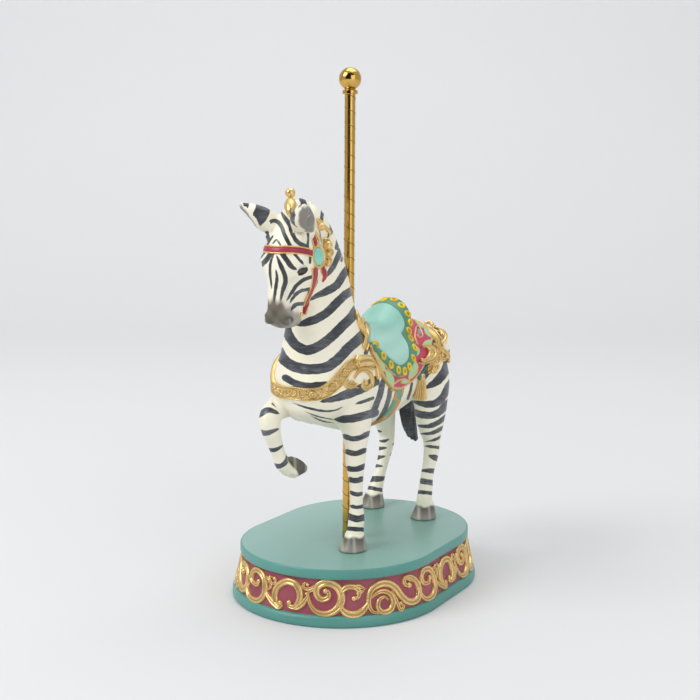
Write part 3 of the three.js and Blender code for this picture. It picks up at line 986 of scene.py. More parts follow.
@dataclass(frozen=True)
class Stroke:
    """One painted stripe on a sheet.

    Attributes:
        line: Its middle, as corners of a smooth curve.
        half: Half its width, in the sheet's units.
        taper: The ends that run out to a point.
        run_out: Share of the length that a point takes.
    """

    line: Sequence[Key]
    half: float
    taper: Taper = Taper.NONE
    run_out: float = 0.4

    def cover(self, pixels: Array, sheet: Sheet) -> Array:
        """How far pixels of the frame lie inside the stripe's edge.

        Args:
            pixels: Places in the photograph's frame.
            sheet: The sheet that the stroke is placed on.

        Returns:
            Pixels inside the edge, negative outside.
        """
        line = sheet.to_frame(smooth_curve(self.line, 6 * len(self.line)))
        gap, share = distance_to_line(pixels, line)
        width = np.full(len(pixels), self.half / sheet.zoom)
        if self.taper in (Taper.START, Taper.BOTH):
            width *= np.sqrt(np.clip(share / self.run_out, 0.02, 1))
        if self.taper in (Taper.END, Taper.BOTH):
            width *= np.sqrt(np.clip((1 - share) / self.run_out, 0.02, 1))
        return width - gap


class Region(Enum):
    """Part of the figure that a group of stripes is painted on."""

    TRUNK = "trunk"
    HEAD = "head"
    EAR = "ear"
    LEFT_FORE = "left_fore"
    RIGHT_FORE = "right_fore"
    LEFT_HIND = "left_hind"
    RIGHT_HIND = "right_hind"
    TAIL = "tail"


FACE_STRIPES = [
    Stroke([(380, 590), (358, 500), (375, 430), (430, 400), (475, 415), (505, 460), (535, 540), (600, 660)],
           20),
    Stroke([(495, 300), (530, 360), (580, 430), (610, 520), (655, 600), (750, 655)], 21, Taper.START, 0.2),
    Stroke([(418, 552), (385, 600), (355, 655)], 10),
    Stroke([(424, 620), (455, 588), (496, 640)], 9),
    Stroke([(765, 495), (765, 570), (762, 660)], 12),
    Stroke([(340, 712), (280, 790)], 7),
    Stroke([(405, 712), (370, 765), (314, 828)], 24),
    Stroke([(436, 712), (400, 800), (392, 900), (402, 1000), (410, 1085)], 14, Taper.BOTH),
    Stroke([(450, 870), (460, 960), (448, 1060), (438, 1130), (430, 1210)], 17, Taper.BOTH, 0.3),
    Stroke([(452, 730), (495, 830), (536, 930), (545, 990), (515, 1090), (495, 1185)], 23, Taper.BOTH, 0.3),
    Stroke([(505, 712), (560, 790), (605, 850), (655, 878)], 25, Taper.END, 0.3),
    Stroke([(635, 732), (685, 785), (728, 835)], 15, Taper.END, 0.3),
    Stroke([(805, 948), (730, 975), (655, 1030), (605, 1105), (550, 1190)], 18, Taper.END),
    Stroke([(780, 1070), (700, 1085), (640, 1125), (580, 1215)], 17, Taper.END),
    Stroke([(712, 1212), (640, 1225), (595, 1285)], 20, Taper.END),
    Stroke([(845, 935), (852, 1030), (830, 1110)], 14, Taper.BOTH),
    Stroke([(785, 745), (785, 810)], 12),
]
NECK_TOP_STRIPES = [
    Stroke([(705, 190), (725, 240)], 28),
    Stroke([(910, 290), (900, 360), (893, 425)], 17),
    Stroke([(1000, 430), (990, 500), (960, 565)], 22, Taper.END),
    Stroke([(1060, 590), (1045, 665)], 20),
    Stroke([(1110, 745), (1090, 795)], 10),
    Stroke([(825, 455), (870, 520), (882, 600), (870, 650)], 15),
    Stroke([(950, 555), (985, 620), (975, 700)], 13, Taper.BOTH),
    Stroke([(1085, 690), (1045, 780), (1005, 860), (930, 960)], 27, Taper.END, 0.3),
    Stroke([(1190, 830), (1110, 930), (1050, 1025), (960, 1085), (860, 1130), (770, 1185)], 39, Taper.END),
    Stroke([(1240, 1060), (1130, 1125), (1060, 1190), (960, 1290), (860, 1355), (760, 1392), (640, 1420)], 42,
           Taper.END, 0.2),
]
BODY_STRIPES = [
    Stroke([(775, -170), (725, -95), (655, -25), (590, 40), (500, 110), (410, 143), (330, 110), (275, 35),
            (255, -30)], 35),
    Stroke([(850, -20), (780, 60), (700, 130), (640, 195), (550, 262), (430, 280), (320, 262), (245, 215),
            (205, 150)], 37),
    Stroke([(850, 95), (825, 165)], 14),
    Stroke([(560, 372), (430, 400), (330, 382), (250, 340)], 25, Taper.START, 0.3),
    Stroke([(890, 365), (800, 415), (700, 455), (600, 490), (500, 512)], 34, Taper.END, 0.5),
    Stroke([(300, 518), (400, 552), (530, 578), (600, 574), (670, 545)], 9, Taper.BOTH),
    Stroke([(748, 528), (800, 512), (875, 486)], 12, Taper.START),
    Stroke([(385, 578), (480, 615), (560, 632), (640, 640)], 5, Taper.BOTH),
    Stroke([(430, 612), (520, 650), (600, 662)], 5, Taper.BOTH),
    Stroke([(600, 636), (700, 636), (800, 615), (890, 588)], 30, Taper.START, 0.25),
    Stroke([(950, 340), (932, 440), (905, 520), (868, 605)], 22, Taper.START, 0.2),
    Stroke([(1002, 410), (985, 500), (950, 590), (890, 660)], 17, Taper.END),
    Stroke([(868, 672), (905, 660), (948, 643)], 9, Taper.BOTH),
    Stroke([(1125, 490), (1142, 440), (1155, 380)], 10),
    Stroke([(1335, 10), (1332, 60), (1320, 112)], 28),
    Stroke([(1340, 130), (1315, 220)], 14),
    Stroke([(1305, 235), (1265, 290), (1232, 330)], 30),
    Stroke([(1465, 120), (1415, 220), (1385, 300), (1325, 370), (1245, 415)], 32, Taper.END, 0.3),
    Stroke([(1470, 320), (1412, 405), (1375, 475), (1330, 518), (1255, 530), (1150, 505)], 26, Taper.END, 0.3),
    Stroke([(1480, 470), (1395, 535), (1355, 580), (1299, 606), (1214, 602), (1135, 555)], 26, Taper.END, 0.2),
    Stroke([(1480, 570), (1388, 625), (1335, 664), (1260, 687), (1175, 677)], 18, Taper.END),
    Stroke([(1460, 655), (1378, 695), (1299, 734), (1205, 740)], 14, Taper.END),
    Stroke([(1440, 735), (1360, 760), (1323, 780), (1250, 797)], 10, Taper.END),
]
LEFT_HIND_STRIPES = [
    Stroke([(1245, 826), (1365, 840)], 11, Taper.START),
    Stroke([(1270, 893), (1345, 920)], 21, Taper.START, 0.6),
    Stroke([(1215, 914), (1232, 916)], 5),
    Stroke([(1205, 1000), (1330, 1006)], 19, Taper.START, 0.7),
    Stroke([(1185, 1070), (1320, 1092)], 20, Taper.START, 0.3),
    Stroke([(1180, 1152), (1292, 1163)], 14),
]
RIGHT_HIND_STRIPES = [
    Stroke([(870, 718), (940, 724)], 10, Taper.END),
    Stroke([(1062, 690), (1040, 745)], 9, Taper.BOTH),
    Stroke([(912, 788), (955, 792), (998, 775)], 10, Taper.BOTH),
    Stroke([(912, 845), (980, 838)], 13, Taper.END, 0.7),
    Stroke([(1040, 785), (1020, 818)], 6),
    Stroke([(898, 912), (966, 898)], 16, Taper.END, 0.7),
    Stroke([(1010, 878), (1002, 892)], 6),
    Stroke([(880, 967), (946, 970)], 13, Taper.END, 0.7),
    Stroke([(845, 1062), (930, 1060), (995, 1052)], 21, Taper.END, 0.5),
    Stroke([(840, 1122), (955, 1144)], 14),
]
LEFT_FORE_STRIPES = [
    Stroke([(645, 748), (750, 776), (875, 722)], 19, Taper.BOTH, 0.15),
    Stroke([(665, 860), (750, 880), (840, 848)], 19, Taper.BOTH, 0.15),
    Stroke([(675, 984), (760, 992), (840, 958)], 20, Taper.BOTH, 0.15),
    Stroke([(690, 1058), (755, 1074), (822, 1050)], 20, Taper.BOTH, 0.2),
    Stroke([(705, 1150), (760, 1172), (818, 1160)], 15, Taper.BOTH, 0.2),
    Stroke([(705, 1250), (760, 1264), (825, 1250)], 13, Taper.BOTH, 0.2),
    Stroke([(698, 1326), (760, 1346), (830, 1333)], 24),
    Stroke([(688, 1414), (815, 1424)], 16),
]
RIGHT_FORE_STRIPES = [
    Stroke([(180, 476), (243, 530)], 10, Taper.END),
    Stroke([(160, 524), (217, 562)], 8, Taper.END),
    Stroke([(62, 606), (130, 570), (212, 600)], 21, Taper.END, 0.5),
    Stroke([(68, 725), (110, 736), (210, 702)], 19, Taper.END, 0.6),
    Stroke([(118, 850), (175, 856), (242, 818)], 14, Taper.END, 0.5),
    Stroke([(152, 960), (215, 970), (264, 925), (264, 868)], 17, Taper.END, 0.3),
]


@dataclass(frozen=True)
class Limb:
    """A rounded part of the figure: keys of x, y, z, half width and half depth, and its squareness."""

    keys: Sequence[Key]
    power: float = 2.0

    def skin(self, steps: int, sides: int) -> Skin:
        """Its closed skin."""
        return tube(self.keys, steps, sides, self.power)

    def middle(self) -> Array:
        """Its middle line."""
        return smooth_curve([key[:3] for key in self.keys], 60)

    def closeness(self, points: Array) -> Array:
        """Distance from its middle line as a share of its half size there.

        Args:
            points: Rows of grid points.

        Returns:
            One share for each point, 1 at the skin.
        """
        best = np.full(len(points), np.inf)
        for x, y, z, across, deep in smooth_curve(self.keys, 6 * len(self.keys)):
            gap = np.linalg.norm(points - [x, y, z], axis=1) / max((across + deep) / 2, 1)
            best = np.minimum(best, gap)
        return best


BARREL = Limb([
    (0, -89, 157, 13, 13), (0, -82, 156, 26, 28), (0, -67, 156, 34, 38), (0, -42, 156, 38, 44),
    (0, -7, 151.5, 39, 48.5), (0, 33, 147, 40, 44), (0, 68, 148, 39, 40.5), (0, 98, 153.5, 38, 38),
    (0, 122, 155, 34, 33.5), (0, 139, 152.5, 27, 25.5), (0, 148, 149, 12, 10),
])
NECK = Limb([
    (-1, -42, 156, 35, 44), (-1, -43, 186, 32, 43), (-1, -46, 213, 26, 37), (0, -50, 241, 21, 31),
    (0, -60, 269, 17.5, 25), (0, -72, 289, 15.5, 19), (0, -82, 298, 13, 12),
])
HEAD = Limb([
    (0, -85, 301, 10, 11), (0, -88, 290, 16, 20), (0, -90.6, 273, 19.5, 26), (0, -94.4, 256, 20.5, 28.5),
    (0, -99, 241, 16, 25.7), (0, -104.3, 229, 12.4, 19.8), (0, -105.4, 219, 13, 16.6),
    (0, -105, 210.5, 13.4, 13.5), (0, -104.6, 206, 8.6, 8),
], 2.3)
LEFT_FORE = Limb([
    (18, -39, 158, 14, 26), (22, -33, 132, 15, 22), (23.4, -28, 116, 14, 16.5), (23.4, -27, 101, 11.2, 12),
    (23.4, -27, 91, 9.6, 10), (23.4, -27.6, 80, 9, 9.4), (23.4, -27, 70, 7.4, 7.8), (23.4, -26, 56, 6, 6.6),
    (23.4, -25.4, 40, 6, 6.4), (23.4, -25, 28, 7.4, 8), (23, -26, 18, 7.6, 8), (22.6, -27.4, 10, 8.6, 9),
])
RIGHT_FORE = Limb([
    (-19, -40, 150, 13, 26), (-23, -55, 139, 15, 18), (-26.6, -68, 132.6, 12, 12.6),
    (-28, -78, 129.4, 10, 10.4), (-28.4, -85.6, 124, 9.2, 9.6), (-28.4, -84, 113, 8.6, 8.8),
    (-28.4, -77.4, 99, 6.6, 7), (-28, -72.4, 89, 6.2, 6.6), (-27.4, -67.6, 80.5, 7, 7.4),
    (-26.8, -62, 75, 6.6, 6.8), (-26.4, -57, 71, 6.6, 6.8),
])
LEFT_HIND = Limb([
    (22, 104, 156, 16, 32), (29, 106, 136, 17, 28), (31.4, 105, 113, 15, 21.5), (31.6, 105, 100, 13.4, 19.5),
    (31.4, 107, 87, 10.8, 15.6), (31, 109.4, 73, 7.8, 9.6), (30.8, 109.4, 62, 7.4, 9),
    (30.4, 106, 51, 6.3, 7.6), (30.2, 102, 41, 6.2, 7), (30.4, 98.6, 27, 7, 7.8), (30.4, 96.4, 19, 7.6, 8.2),
    (30.4, 97.4, 10, 8.4, 8.8),
])
RIGHT_HIND = Limb([
    (-22, 110, 156, 16, 32), (-29, 114, 136, 17, 28), (-32, 122, 113, 15, 21), (-33, 127, 98, 12.5, 17),
    (-33.4, 133, 82, 10, 12.6), (-33.4, 137.4, 68, 8, 9), (-33.4, 136.6, 58, 7.4, 8.8),
    (-33, 131, 46, 6.2, 7.4), (-33, 124, 34, 6.2, 6.8), (-33, 115.6, 21, 7.2, 7.8), (-33, 111.6, 14, 7.8, 8.2),
    (-33, 111, 9, 8.4, 8.8),
])
TAIL = Limb([
    (0, 140, 176, 5, 5), (-1, 151, 163, 6, 6.5), (-8, 153, 138, 8, 8.5), (-15.6, 148, 112, 8.4, 9.2),
    (-14, 145, 90, 7.8, 8.6), (-7.4, 142.6, 71, 5.2, 6.2), (-1.4, 141.6, 64.6, 1.8, 2.6),
])
FORELOCK = Limb([(3, -82, 302, 8, 8), (3, -91, 303, 7.6, 8), (3.6, -101, 300, 6, 7), (4, -107, 290, 3, 4)])
EAR = [
    (10.6, -93.4, 281, 9, 7.4), (14.8, -101, 288.6, 10.8, 9), (20, -110, 295.4, 10.2, 8.8),
    (26, -118, 301.4, 6.6, 6), (31.2, -124.6, 306.4, 1.6, 1.4),
]
EAR_OPENING = (0.78, -0.6, 0.15)
CREST = [
    (0, -92, 297), (0, -80, 300.5), (0, -65, 298), (0, -50, 289), (0, -38, 275), (0, -27, 257),
    (0, -18, 239.6), (0, -10, 222), (0, -5, 206),
]
REGION_LIMBS = {
    Region.TRUNK: (BARREL, NECK), Region.HEAD: (HEAD,), Region.LEFT_FORE: (LEFT_FORE,),
    Region.RIGHT_FORE: (RIGHT_FORE,), Region.LEFT_HIND: (LEFT_HIND,), Region.RIGHT_HIND: (RIGHT_HIND,),
    Region.TAIL: (TAIL,),
}


@dataclass(frozen=True)
class Dab:
    """One push of the modelling tool: the surface rises, or sinks if height is negative, round a line.

    Attributes:
        line: One point or the corners of a line, on the figure's grid.
        radius: Reach of the push.
        height: How far the middle moves.
        both: Whether the other side gets its mirror image.
    """

    line: Sequence[Key]
    radius: float
    height: float
    both: bool = True

    def lift(self, points: Array) -> Array:
        """How far each point moves along its normal.

        Args:
            points: Rows of grid points.

        Returns:
            Millimetres for each point.
        """
        total = np.zeros(len(points))
        for side in ((1, -1) if self.both else (1,)):
            line = np.asarray(self.line, float) * [side, 1, 1]
            if len(line) == 1:
                gap = np.linalg.norm(points - line[0], axis=1)
            else:
                gap, _ = distance_to_line(points, smooth_curve(line, 5 * len(line)))
            total += self.height * np.exp(-(gap / self.radius) ** 2)
        return total


@dataclass
class Zebra:
    """The cast animal: body, head, legs, tail, ears and roached mane in one skin.

    Attributes:
        camera: Places the painted stripes.
        form_voxel: Voxel of the first, soft joining, in millimetres.
        skin_voxel: Voxel of the final skin.
        hoof: Hoof from sole to coronet, as height, half width, half depth and set back.
        hooves: Where hooves stand on the plinth.
        raised_hoof: Place, pitch in radians and size of the lifted hoof.
        tufts: Locks of the mane.
        creases: Painted lines of the nostril and the mouth, on the head's sheet.
        dabs: Pushes of the modelling tool that work muscles, sockets and folds.
    """

    camera: PhotoCamera
    form_voxel: float = 1.9
    skin_voxel: float = 1.12
    hoof: Sequence[Key] = ((0, 12.4, 13.6, -2.5), (1.6, 12.2, 13.3, -2.3), (3, 11.8, 12.8, -2),
                           (8, 10.2, 11, -0.4), (12, 8.9, 9.5, 1), (13.6, 8.9, 9.4, 1.4), (16, 7, 7.4, 2))
    hooves: Sequence[Key] = ((22.6, -28), (30.4, 97.4), (-33, 109))
    raised_hoof: Sequence[float] = (-26.4, -47, 77, 2.3, 0.88)
    tufts: int = 19
    creases: Sequence[Stroke] = (
        Stroke([(562, 1356), (590, 1346), (612, 1370), (600, 1404)], 15, Taper.END, 0.4),
        Stroke([(470, 1442), (560, 1458), (640, 1432), (684, 1374)], 6, Taper.BOTH),
    )
    dabs: Sequence[Dab] = (
        Dab([(20, -88, 246)], 11, 1.6), Dab([(14.5, -108, 262)], 6.5, 2.6), Dab([(17, -107, 253)], 4.6, -2.2),
        Dab([(12.5, -100, 258), (16.4, -106.5, 258.4), (14, -113, 256.5)], 2.0, 1.5),
        Dab([(15.6, -101, 250.5), (16.4, -106.5, 248.6), (13.6, -112, 249.6)], 1.8, 0.9),
        Dab([(9, -117, 243), (8.6, -121, 231), (7.6, -121.5, 221)], 3, 0.7),
        Dab([(14, -103, 236), (12.4, -106, 226)], 4.4, -1.3),
        Dab([(9.4, -116.5, 215)], 4.2, 1.6), Dab([(10.2, -116.4, 213.2), (11.4, -113, 214.8)], 1.9, -3.0),
        Dab([(0, -122, 214)], 2.6, -0.8, False), Dab([(7, -119, 204.4)], 5, -2.4),
        Dab([(11, -112, 240), (11, -113, 228)], 7, -4.2), Dab([(9.6, -117, 214)], 4.6, 1.4),
        Dab([(12.6, -113, 214), (12.8, -109, 218)], 4, 0.8),
        Dab([(0, -121, 207.8), (6.6, -118.4, 206.6), (12, -111, 207.6), (13.2, -103, 211), (13, -99, 214.4)],
            1.3, -1.5),
        Dab([(0, -116.5, 203)], 4, 0.9, False), Dab([(0, -97, 206)], 5, -0.8, False),
        Dab([(28, -56, 176), (34, -38, 152)], 13, 1.4), Dab([(26, -36, 128), (30, -22, 138)], 7, 1.0),
        Dab([(36, -14, 150), (33, -17, 128)], 6, -1.1), Dab([(0, -92, 178), (0, -92, 158)], 6, -1.2, False),
        Dab([(36, 92, 170), (39, 104, 142)], 12, 1.2), Dab([(34, 76, 126), (33, 70, 144)], 8, -1.4),
        Dab([(0, 128, 182), (0, 148, 156)], 6, -1.3, False), Dab([(26, 140, 140)], 12, 1.3),
        Dab([(23.4, -37, 80)], 5, 0.9, False), Dab([(23.4, -36, 28)], 4, -0.5, False),
        Dab([(31, 100, 66)], 4.6, -0.7, False), Dab([(31, 119, 66)], 4, 1.0, False),
        Dab([(-33, 147, 64)], 4.2, 1.0, False), Dab([(-33, 128, 66)], 4.4, -0.6, False),
        Dab([(-28.4, -95, 124)], 5, 0.8, False),
        Dab([(-14, -30, 124), (0, -30, 110)], 8, -0.6, False),
    )

    def build(self) -> None:
        """Models and paints the animal, and adds its eyes."""
        mesh = self.modelled()
        self.painted(mesh)
        made = added("zebra_body", mesh)
        mesh.materials.append(ZebraPaint().make())
        smoothed(mesh)
        adopt(made, "figure_paint", "zebra")
        self.eyes()

    def modelled(self) -> Mesh:
        """The animal's mesh, melted from its limbs and worked with dabs."""
        large = [BARREL.skin(60, 48), NECK.skin(40, 40), HEAD.skin(60, 40),
                 *(leg.skin(60, 28) for leg in (LEFT_FORE, RIGHT_FORE)),
                 *(leg.skin(60, 32) for leg in (LEFT_HIND, RIGHT_HIND)),
                 ball((-18.5, -52, 127), 11.5), ball((21, 118, 161), 22), ball((-21, 118, 161), 22)]
        form = Skin.joined(large)
        soft = voxel_mesh(Skin(in_metres(form.points), form.faces), self.form_voxel * MM)
        points = relaxed(soft, vertex_positions(soft), 4)
        for _ in range(10):
            points = relaxed(soft, relaxed(soft, points, 1), 1, -0.52)
        faces = [tuple(face.vertices) for face in soft.polygons]
        self.hide = Hide(on_grid(points), faces, self.camera)
        bpy.data.meshes.remove(soft)
        small = [TAIL.skin(40, 24), FORELOCK.skin(24, 20), *self.hoof_skins(), *self.mane(),
                 *self.tail_locks()]
        for side in (1, -1):
            small += [tube([(side * x, *rest) for x, *rest in EAR], 30, 24),
                      ball((side * 14.4, -106, 260), 6.4), ball((side * 6.8, -115.6, 211.6), 4.4),
                      ball((side * 12.6, -103, 282), 7.4)]
        fine = Skin.joined(small)
        whole = Skin.joined([Skin(points, faces), Skin(in_metres(fine.points), fine.faces)])
        mesh = voxel_mesh(whole, self.skin_voxel * MM)
        grid = on_grid(relaxed(mesh, vertex_positions(mesh), 3))
        self.store(mesh, grid)
        return self.worked(mesh, grid)

    def store(self, mesh: Mesh, grid: Array) -> None:
        """Writes grid points back to the mesh."""
        mesh.vertices.foreach_set("co", in_metres(grid).ravel())
        mesh.update()

    def worked(self, mesh: Mesh, grid: Array) -> Mesh:
        """Presses the dabs, the ears' hollows, the strands of mane and tail into the skin.

        Args:
            mesh: The melted mesh.
            grid: Its points on the figure's grid.

        Returns:
            The same mesh.
        """
        normals = vertex_normals(mesh)
        lift = sum(dab.lift(grid) for dab in self.dabs)
        for side in (1, -1):
            gap, share, facing = self.along_ear(grid, normals, side)
            inside = smoothstep(facing, 0.42, 0.85) * smoothstep(share, 0.08, 0.3)
            inside *= smoothstep(-gap, -11.5, -9.5) * (1 - smoothstep(share, 0.6, 0.95))
            lift = lift - 6.0 * inside
        self.store(mesh, grid + normals * (lift + self.strands(grid))[:, None])
        return mesh

    @staticmethod
    def along_ear(grid: Array, normals: Array, side: int) -> tuple[Array, Array, Array]:
        """Distance to an ear's middle line, share of its length, and how far a point faces its opening."""
        gap, share = distance_to_line(grid, smooth_curve([(side * x, y, z) for x, y, z, *_ in EAR], 30))
        return gap, share, normals @ (np.array(EAR_OPENING) * [side, 1, 1])

    def strands(self, grid: Array) -> Array:
        """Fine grooves of hair in the mane and the tail.

        Args:
            grid: Points on the figure's grid.

        Returns:
            Millimetres for each point.
        """
        gap, share = distance_to_line(grid, smooth_curve(CREST, 60))
        on_mane = smoothstep(-np.abs(grid[:, 0]), -5.4, -4) * smoothstep(-gap, -15, -9)
        on_mane *= smoothstep(gap, 4, 6.5)
        crest_length, hair = 190, 2.6
        mane = on_mane * 0.35 * np.sin(share * crest_length * 2 * math.pi / hair)
        tail_gap, tail_share = distance_to_line(grid, TAIL.middle())
        turn = np.arctan2(grid[:, 0] + 9, grid[:, 1] - 147)
        on_tail = smoothstep(-tail_gap, -13, -11) * smoothstep(tail_share, 0.15, 0.35)
        tail = on_tail * 0.5 * np.sin(turn * 13 + tail_share * 9)
        return mane + tail

    def hoof_skins(self) -> list[Skin]:
        """The four hooves."""
        angle = np.arange(36) / 36 * 2 * math.pi
        rings = np.stack([np.column_stack([a * np.cos(angle), back + d * np.sin(angle), np.full(36, h)])
                          for h, a, d, back in self.hoof])
        block = skin_of(rings)
        made = [Skin(block.points + [x, y, 0], block.faces) for x, y in self.hooves]
        x, y, z, pitch, size = self.raised_hoof
        turn = np.array(Matrix.Rotation(pitch, 3, "X"))
        made.append(Skin(size * block.points @ turn.T + [x, y, z], block.faces))
        return made

    def mane(self) -> list[Skin]:
        """The fin of the roached mane and its locks."""
        made = [tube([(*spot, 3.2, 6.6) for spot in CREST], 60, 16)]
        path = smooth_curve(CREST, 2 * self.tufts + 1)
        along = directions(path)
        for k in range(1, 2 * self.tufts, 2):
            t = k / (2 * self.tufts)
            out = np.cross([1, 0, 0], along[k])
            reach = (10.2 if k % 4 == 1 else 8.9) - 2.0 * abs(2 * t - 0.8)
            base, tip = path[k] - out, path[k] + out * reach - along[k] * 2.6
            middle = (base + tip) / 2 + along[k] * 0.6
            made.append(tube([(*base, 2.9, 4.4), (*middle, 2.6, 4.0), (*tip, 1.0, 1.2)], 8, 12))
        return made

    def tail_locks(self) -> list[Skin]:
        """Locks that part at the end of the tail."""
        made = []
        for k in range(5):
            turn = k / 5 * 2 * math.pi
            dx, dy = 3.4 * math.cos(turn), 3.4 * math.sin(turn)
            made.append(tube([(-13 + dx, 144 + dy, 92, 4.0, 4.0), (-8.4 + dx, 142.6 + dy, 75, 3.0, 3.0),
                              (-2.4 + dx * 0.4, 141.6 + dy * 0.4, 64.4 + (k % 2) * 1.6, 0.9, 0.9)], 10, 10))
        return made

    def painted(self, mesh: Mesh) -> None:
        """Stores the ground colour and the stripes.

        Args:
            mesh: The finished skin.
        """
        points = vertex_positions(mesh)
        grid = on_grid(points)
        normals = vertex_normals(mesh)
        regions = list(REGION_LIMBS)
        near = np.stack([np.min([limb.closeness(grid) for limb in REGION_LIMBS[region]], axis=0)
                         for region in regions])
        owner = np.argmin(near, axis=0)
        trunk = regions.index(Region.TRUNK)
        for leg, top in ((Region.LEFT_FORE, 118), (Region.LEFT_HIND, 90), (Region.RIGHT_HIND, 90)):
            owner[(owner == regions.index(leg)) & (grid[:, 2] > top)] = trunk
        stripe = np.full(len(points), -4.0)
        groups = {
            Region.TRUNK: (BODY_STRIPES, NECK_TOP_STRIPES),
            Region.HEAD: ([], FACE_STRIPES + NECK_TOP_STRIPES[:1]),
            Region.LEFT_FORE: (LEFT_FORE_STRIPES, []), Region.RIGHT_FORE: (RIGHT_FORE_STRIPES, []),
            Region.LEFT_HIND: (LEFT_HIND_STRIPES + BODY_STRIPES[-4:], []),
            Region.RIGHT_HIND: (RIGHT_HIND_STRIPES, []),
        }
        for region, (on_body_sheet, on_head_sheet) in groups.items():
            mine = owner == regions.index(region)
            both = region in (Region.TRUNK, Region.HEAD)
            strokes = [(s, BODY_SHEET) for s in on_body_sheet] + [(s, HEAD_SHEET) for s in on_head_sheet]
            stripe[mine] = self.striped(points[mine], normals[mine], strokes, both)
        ground = self.ground(grid, normals, owner == regions.index(Region.HEAD))
        stripe, ground = self.ears(grid, normals, stripe, ground)
        stripe = self.tail_paint(grid, owner == regions.index(Region.TAIL), stripe)
        give(mesh, "stripe", np.clip(np.where(self.on_hooves(grid) > 0.5, -4, stripe), -4, 4))
        give_colour(mesh, "ground", ground)

    def striped(self, points: Array, normals: Array, strokes: Sequence, both: bool) -> Array:
        """Stripes on one region.

        Args:
            points: Its points in metres.
            normals: Their directions.
            strokes: Pairs of stroke and sheet.
            both: Whether the side turned from the camera takes the near side's mirror image.

        Returns:
            Pixels inside the nearest stripe's edge.
        """
        direct = self.covered(points, strokes)
        if not both:
            return direct
        flipped = points * [-1, 1, 1] + [2 * AXIS_X, 0, 0]
        mirror = self.covered(flipped, strokes)
        seen = smoothstep(self.camera.facing(points, normals), -0.08, 0.12)
        seen = np.maximum(seen, smoothstep(points[:, 0] - AXIS_X, -1 * MM, 3 * MM))
        return direct * seen + mirror * (1 - seen)

    def covered(self, points: Array, strokes: Sequence) -> Array:
        """Pixels inside the edge of the nearest of some strokes."""
        pixels = self.camera.seen(points)
        return np.maximum(np.max([stroke.cover(pixels, sheet) for stroke, sheet in strokes], axis=0), -4)

    def on_hooves(self, grid: Array) -> Array:
        """1 on the hooves and 0 above their coronets.

        Args:
            grid: Points on the figure's grid.

        Returns:
            A share for each point.
        """
        coronet = 12.8 + 0.7 * np.sin(0.45 * grid[:, 0] + 0.3 * grid[:, 1])
        flat = np.min([np.hypot(grid[:, 0] - x, grid[:, 1] - y) for x, y in self.hooves], axis=0)
        standing = smoothstep(-grid[:, 2], -coronet - 1.3, -coronet + 1.3) * smoothstep(-flat, -20, -18)
        x, y, z, pitch, size = self.raised_hoof
        axis = np.array([0, -math.sin(pitch), math.cos(pitch)])
        height = (grid - [x, y, z]) @ axis / size
        near = np.linalg.norm(grid - [x, y, z], axis=1)
        lifted = smoothstep(-height, -coronet - 1.3, -coronet + 1.3) * smoothstep(-near, -24, -22)
        return np.maximum(standing, lifted)

    def ground(self, grid: Array, normals: Array, on_head: Array) -> Array:
        """Colour under the stripes: cream with painted shade on its undersides, darker muzzle, grey hooves
        with painted highlights.

        Args:
            grid: Points on the figure's grid.
            normals: Their directions.
            on_head: Which points belong to the head.

        Returns:
            Linear colours.
        """
        cream, warm, taupe, pale = paints("f4efda", "d8d0b6", "54493a", "b1aca0")
        horn, dark_horn, horn_highlight = paints("8e8b7e", "47453d", "c2bfae")
        # Painted shade: the cream darkens to a warm tone on faces that look downwards
        colour = blend(cream, warm, 0.45 * smoothstep(-normals[:, 2], 0.2, 1.0))
        x, y, z = grid.T
        border = 226.5 - 0.7 * (y + 118) + 1.6 * np.sin(0.9 * x + 0.4 * y)
        muzzle = on_head * smoothstep(border - z, -4, 4)
        blotch = 0.5 + 0.5 * np.sin(0.55 * x + 1.3) * np.sin(0.42 * z + 0.8)
        shade = blend(taupe, pale, 0.2 * blotch + 0.7 * smoothstep(y + 0.3 * z, -56, -48))
        colour = blend(colour, shade, muzzle)
        lines = [(stroke, HEAD_SHEET) for stroke in self.creases]
        inside = self.striped(in_metres(grid), normals, lines, True)
        colour = blend(colour, dark_horn, 0.85 * on_head * smoothstep(inside, -0.6, 0.6))
        # Painted highlights: pale streaks across the hooves' horn
        highlight_streaks = 0.5 * smoothstep(np.sin(x * 0.5 + y * 0.35 + 0.6), 0.4, 1.0)
        keratin = blend(blend(horn, dark_horn, 0.8 * smoothstep(z, 2, 12)), horn_highlight, highlight_streaks)
        return blend(colour, keratin, self.on_hooves(grid))

    def ears(self, grid: Array, normals: Array, stripe: Array, ground: Array) -> tuple[Array, Array]:
        """Dark bands on the ears' backs, taupe in their hollows.

        Args:
            grid: Points on the figure's grid.
            normals: Their directions.
            stripe: Stripes so far.
            ground: Ground colours so far.

        Returns:
            Both, with the ears.
        """
        taupe, = paints("84817a")
        for side in (1, -1):
            gap, share, facing = self.along_ear(grid, normals, side)
            on_ear = (gap < 11.5) & (share > 0.2) & (grid[:, 2] > 284) & (side * grid[:, 0] > 10)
            band = np.maximum(np.minimum(share - 0.50, 0.745 - share),
                              np.minimum(share - 0.86, 0.965 - share)) * 42
            stripe = np.where(on_ear, np.where(facing < 0.24, np.clip(band, -4, 4), -4), stripe)
            hollow = on_ear * smoothstep(facing, 0.36, 0.5) * smoothstep(-gap, -10.8, -9.4)
            hollow = hollow * smoothstep(-share, -1.02, -0.94)
            ground = blend(ground, taupe, hollow)
            stripe = np.where(hollow > 0.3, -4, stripe)
        return stripe, ground

